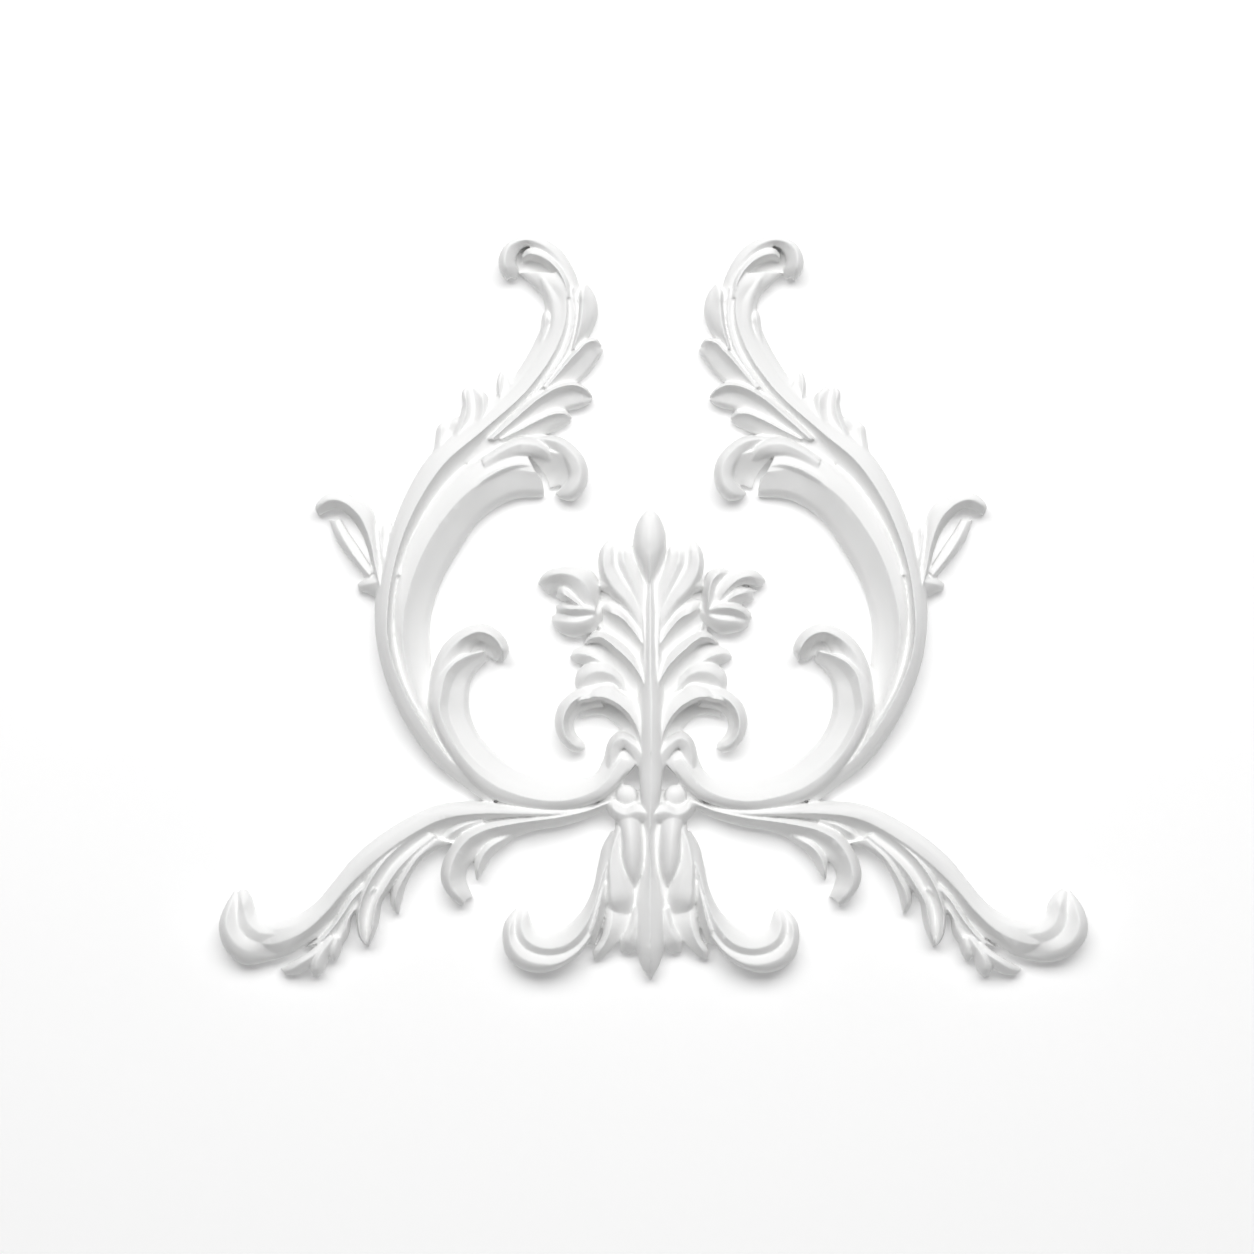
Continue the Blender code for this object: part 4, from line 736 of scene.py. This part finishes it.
# The bud, the stem and the pointed leaf on the middle line.
centre = {
    "bud": ((0.8, 0.4, 0.4, 0.8), [
        [(649, 590, 6), (643, 578, 5), (637, 567, 5), (633, 551, 5), (634, 535, 5), (637, 524, 5),
         (643, 514, 5), (650, 508, 4)],
        [(650, 590, 9), (645, 577, 9), (641, 564, 11), (639, 549, 14), (640, 535, 14.5), (642, 525, 13.5),
         (646, 516, 11.5), (650, 510, 6)],
        [(650, 590, 11), (650, 577, 13.5), (649, 563, 15.5), (649, 549, 16.5), (649, 535, 16.5),
         (649, 525, 15), (649, 517, 12), (650, 510, 6)],
        [(650, 590, 9), (654, 577, 9), (658, 564, 11), (660, 549, 14), (659, 536, 14.5), (657, 526, 13.5),
         (653, 516, 11.5), (650.5, 510, 6)],
        [(651, 590, 6), (656, 578, 5), (662, 567, 5), (666, 551, 5), (666, 537, 5), (663, 525, 5),
         (657, 514, 5), (651, 508, 4)],
    ]),
    "stem": ((0.6, 0.6), [
        [(647, 583, 8), (645, 600, 9), (644, 620, 10), (644, 640, 10.5), (643, 670, 11), (640, 700, 11),
         (638, 750, 10), (640, 790, 12), (643, 815, 10), (645, 840, 6), (646, 860, 4)],
        [(650, 583, 12), (650, 600, 13.5), (650, 620, 14.5), (650, 640, 15.5), (650, 670, 16.5),
         (651, 700, 17), (651, 750, 17), (651, 790, 16), (650, 815, 14.5), (650, 840, 12), (650, 860, 10)],
        [(653, 583, 8), (655, 600, 9), (656, 620, 10), (656, 640, 10.5), (658, 670, 11), (662, 700, 11),
         (664, 750, 10), (661, 790, 12), (657, 815, 10), (655, 840, 6), (654, 860, 4)],
    ]),
    "centreLeaf": ((0.7, 0, 0, 0.7), [
        [(645, 815, 8), (645, 840, 7), (644, 860, 7), (638, 885, 6), (634, 905, 5), (634, 930, 5),
         (636, 948, 4), (641, 965, 4), (650, 979, 3)],
        [(648, 815, 12), (648, 840, 12), (647.5, 862, 12), (644, 888, 11.5), (642, 908, 11.5),
         (642, 930, 11), (643, 948, 10), (646, 963, 8), (650, 977, 4)],
        [(650, 815, 14), (650, 860, 13.5), (650, 908, 13.5), (650, 930, 13), (650, 950, 12), (650, 964, 9),
         (650.5, 977, 4)],
        [(652, 815, 12), (652, 840, 12), (652.5, 862, 12), (656, 888, 11.5), (658, 908, 11.5),
         (658, 930, 11), (657, 948, 10), (654, 963, 8), (651, 977, 4)],
        [(655, 815, 8), (655, 840, 7), (656, 860, 7), (662, 885, 6), (666, 905, 5), (666, 930, 5),
         (664, 948, 4), (659, 965, 4), (651, 979, 3)],
    ]),
}
carved += carveForm(centre, (1,))
print("centre:", len(carved), "pieces so far")

# The small balls beside the foot of the stem.
balls = {"radius": 0.0055, "column": 627, "row": 795, "height": 7, "segments": 48}
for side in (1, -1):
    bpy.ops.mesh.primitive_uv_sphere_add(
        segments=balls["segments"],
        ring_count=balls["segments"] // 2,
        radius=balls["radius"],
        location=(
            (balls["column"] - sheet["centreColumn"]) * square * side,
            -balls["height"] * heightUnit,
            (sheet["originRow"] - balls["row"]) * square,
        ),
    )
    carved.append(bpy.context.object)

# The casting: all the carved forms become one closed skin with a flat back.
casting = {
    "skinCell": 0.0005,
    "smoothing": 0.5,
    "smoothPasses": 2,
    "trianglesWanted": 170000,
    "smoothBelowDegrees": 60,
}
bpy.ops.object.select_all(action="DESELECT")
for piece in carved:
    piece.select_set(True)
bpy.context.view_layer.objects.active = carved[0]
bpy.ops.object.join()
applique = bpy.context.object
applique.name = "plasterCasting"
applique.data.name = "plasterCasting"
bpy.ops.object.transform_apply(location=True, rotation=True, scale=True)
skin = applique.modifiers.new("one skin", "REMESH")
skin.mode = "VOXEL"
skin.voxel_size = casting["skinCell"]
bpy.ops.object.modifier_apply(modifier=skin.name)
eased = applique.modifiers.new("sanded", "SMOOTH")
eased.factor = casting["smoothing"]
eased.iterations = casting["smoothPasses"]
bpy.ops.object.modifier_apply(modifier=eased.name)
print("one skin:", len(applique.data.polygons), "faces")
thinned = applique.modifiers.new("thinned", "DECIMATE")
thinned.ratio = casting["trianglesWanted"] / (2 * len(applique.data.polygons))
bpy.ops.object.modifier_apply(modifier=thinned.name)
bpy.ops.object.mode_set(mode="EDIT")
bpy.ops.mesh.select_all(action="SELECT")
bpy.ops.mesh.bisect(plane_co=(0, 0, 0), plane_no=(0, 1, 0), use_fill=True, clear_outer=True)
bpy.ops.mesh.select_all(action="SELECT")
bpy.ops.mesh.quads_convert_to_tris()
bpy.ops.object.mode_set(mode="OBJECT")
bpy.ops.object.shade_smooth_by_angle(angle=math.radians(casting["smoothBelowDegrees"]))
print("casting:", len(applique.data.polygons), "faces")


class Link:
    # a shader socket that takes part in sums with plain numbers
    def __init__(self, tree, socket):
        self.tree = tree
        self.socket = socket

    def math(self, operation, number):
        node = self.tree.nodes.new("ShaderNodeMath")
        node.operation = operation
        self.tree.links.new(self.socket, node.inputs[0])
        node.inputs[1].default_value = number
        return Link(self.tree, node.outputs[0])

    def __add__(self, number):
        return self.math("ADD", number)

    def __sub__(self, number):
        return self.math("SUBTRACT", number)

    def __mul__(self, number):
        return self.math("MULTIPLY", number)


def addNode(tree, kind, settings=None, values=None, output=0):
    node = tree.nodes.new(kind)
    for key, value in (settings or {}).items():
        setattr(node, key, value)
    for key, value in (values or {}).items():
        if isinstance(value, Link):
            tree.links.new(value.socket, node.inputs[key])
        else:
            node.inputs[key].default_value = value
    return Link(tree, node.outputs[output])


def newMaterial(name):
    material = bpy.data.materials.new(name)
    material.use_nodes = True
    shader = material.node_tree.nodes["Principled BSDF"]
    return material, material.node_tree, shader


plaster = {
    "pale": (0.93, 0.93, 0.925, 1),
    "shade": (0.90, 0.90, 0.895, 1),
    "roughness": 0.62,
    "roughnessSwing": 0.1,
    "mottleScale": 14,
    "mottleDetail": 3,
    "grainScale": 900,
    "grainDetail": 4,
    "grainDepth": 0.0002,
    "bump": 0.05,
}


def plasterMaterial():
    material, tree, shader = newMaterial("whitePlaster")
    place = addNode(tree, "ShaderNodeTexCoord", output=3)
    mottle = addNode(tree, "ShaderNodeTexNoise", values={
        "Vector": place, "Scale": plaster["mottleScale"], "Detail": plaster["mottleDetail"]})
    grain = addNode(tree, "ShaderNodeTexNoise", values={
        "Vector": place, "Scale": plaster["grainScale"], "Detail": plaster["grainDetail"]})
    colour = addNode(tree, "ShaderNodeMix", {"data_type": "RGBA"}, {
        "Factor": mottle, "A": plaster["pale"], "B": plaster["shade"]}, output=2)
    relief = addNode(tree, "ShaderNodeBump", values={
        "Strength": plaster["bump"], "Distance": plaster["grainDepth"], "Height": grain})
    tree.links.new(colour.socket, shader.inputs["Base Color"])
    rough = (grain - 0.5) * plaster["roughnessSwing"] + plaster["roughness"]
    tree.links.new(rough.socket, shader.inputs["Roughness"])
    tree.links.new(relief.socket, shader.inputs["Normal"])
    return material


applique.data.materials.clear()
applique.data.materials.append(plasterMaterial())
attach(applique, "root")
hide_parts("acanthus_applique")

# The studio: a white wall behind the casting and a pale floor well below it.
studio = {
    "wallWidth": 6.0,
    "wallHeight": 3.6,
    "wallGap": 0.0003,
    "floorSize": 3,
    "floorDrop": 1.6,
    "floorRoughness": 0.9,
    "white": (0.93, 0.93, 0.93, 1),
    "wallGlow": 0.2,
    "airGlow": 0.03,
}


def wallMaterial():
    # the wall shows from its front only, so the back of the casting can be seen
    material, tree, shader = newMaterial("studioWhite")
    shader.inputs["Base Color"].default_value = studio["white"]
    shader.inputs["Roughness"].default_value = 1.0
    shader.inputs["Specular IOR Level"].default_value = 0.0
    shader.inputs["Emission Color"].default_value = studio["white"]
    shader.inputs["Emission Strength"].default_value = studio["wallGlow"]
    behind = addNode(tree, "ShaderNodeNewGeometry", output=6)
    clear = addNode(tree, "ShaderNodeBsdfTransparent")
    shown = addNode(tree, "ShaderNodeMixShader", values={
        0: behind, 1: Link(tree, shader.outputs[0]), 2: clear})
    tree.links.new(shown.socket, tree.nodes["Material Output"].inputs["Surface"])
    return material


def floorMaterial():
    material, tree, shader = newMaterial("studioFloor")
    shader.inputs["Base Color"].default_value = studio["white"]
    shader.inputs["Roughness"].default_value = studio["floorRoughness"]
    return material


bpy.ops.mesh.primitive_plane_add(size=1, location=(0, studio["wallGap"], 0), rotation=(math.pi / 2, 0, 0))
wall = bpy.context.object
wall.name = "studioWall"
wall.scale = (studio["wallWidth"], studio["wallHeight"], 1)
bpy.ops.object.transform_apply(location=True, rotation=True, scale=True)
wall.data.materials.append(wallMaterial())
bpy.ops.mesh.primitive_plane_add(size=studio["floorSize"], location=(0, 0, -studio["floorDrop"]))
floor = bpy.context.object
floor.name = "studioFloor"
bpy.ops.object.transform_apply(location=True, rotation=True, scale=True)
floor.data.materials.append(floorMaterial())

# The camera looks square on through a long lens. The picture is as wide as 1254 squares.
view = {"lens": 130, "sensor": 36, "pictureSquares": 1254, "farthest": 50}
pictureMiddle = view["pictureSquares"] / 2
aim = Vector((
    (pictureMiddle - sheet["centreColumn"]) * square, 0, (sheet["originRow"] - pictureMiddle) * square))
reach = pictureMiddle * square * 2 * view["lens"] / view["sensor"]
bpy.ops.object.camera_add(location=aim - Vector((0, reach, 0)), rotation=(math.pi / 2, 0, 0))
camera = bpy.context.object
camera.data.lens = view["lens"]
camera.data.sensor_width = view["sensor"]
camera.data.clip_end = view["farthest"]
bpy.context.scene.camera = camera

# One broad soft light, in front of the wall and above.
softLight = {"place": (0.0, -2.0, 1.2), "width": 2.8, "height": 1.1, "power": 40, "spreadDegrees": 140}
bpy.ops.object.light_add(type="AREA", location=softLight["place"])
lamp = bpy.context.object
lamp.name = "above"
lamp.data.shape = "RECTANGLE"
lamp.data.size = softLight["width"]
lamp.data.size_y = softLight["height"]
lamp.data.energy = softLight["power"]
lamp.data.spread = math.radians(softLight["spreadDegrees"])
lamp.rotation_euler = (-lamp.location).to_track_quat("-Z", "Y").to_euler()
world = bpy.data.worlds.new("studioAir")
bpy.context.scene.world = world
world.use_nodes = True
air = world.node_tree.nodes["Background"]
air.inputs["Color"].default_value = (1, 1, 1, 1)
air.inputs["Strength"].default_value = studio["airGlow"]
bpy.context.scene.view_settings.view_transform = "Standard"
print("studio ready")
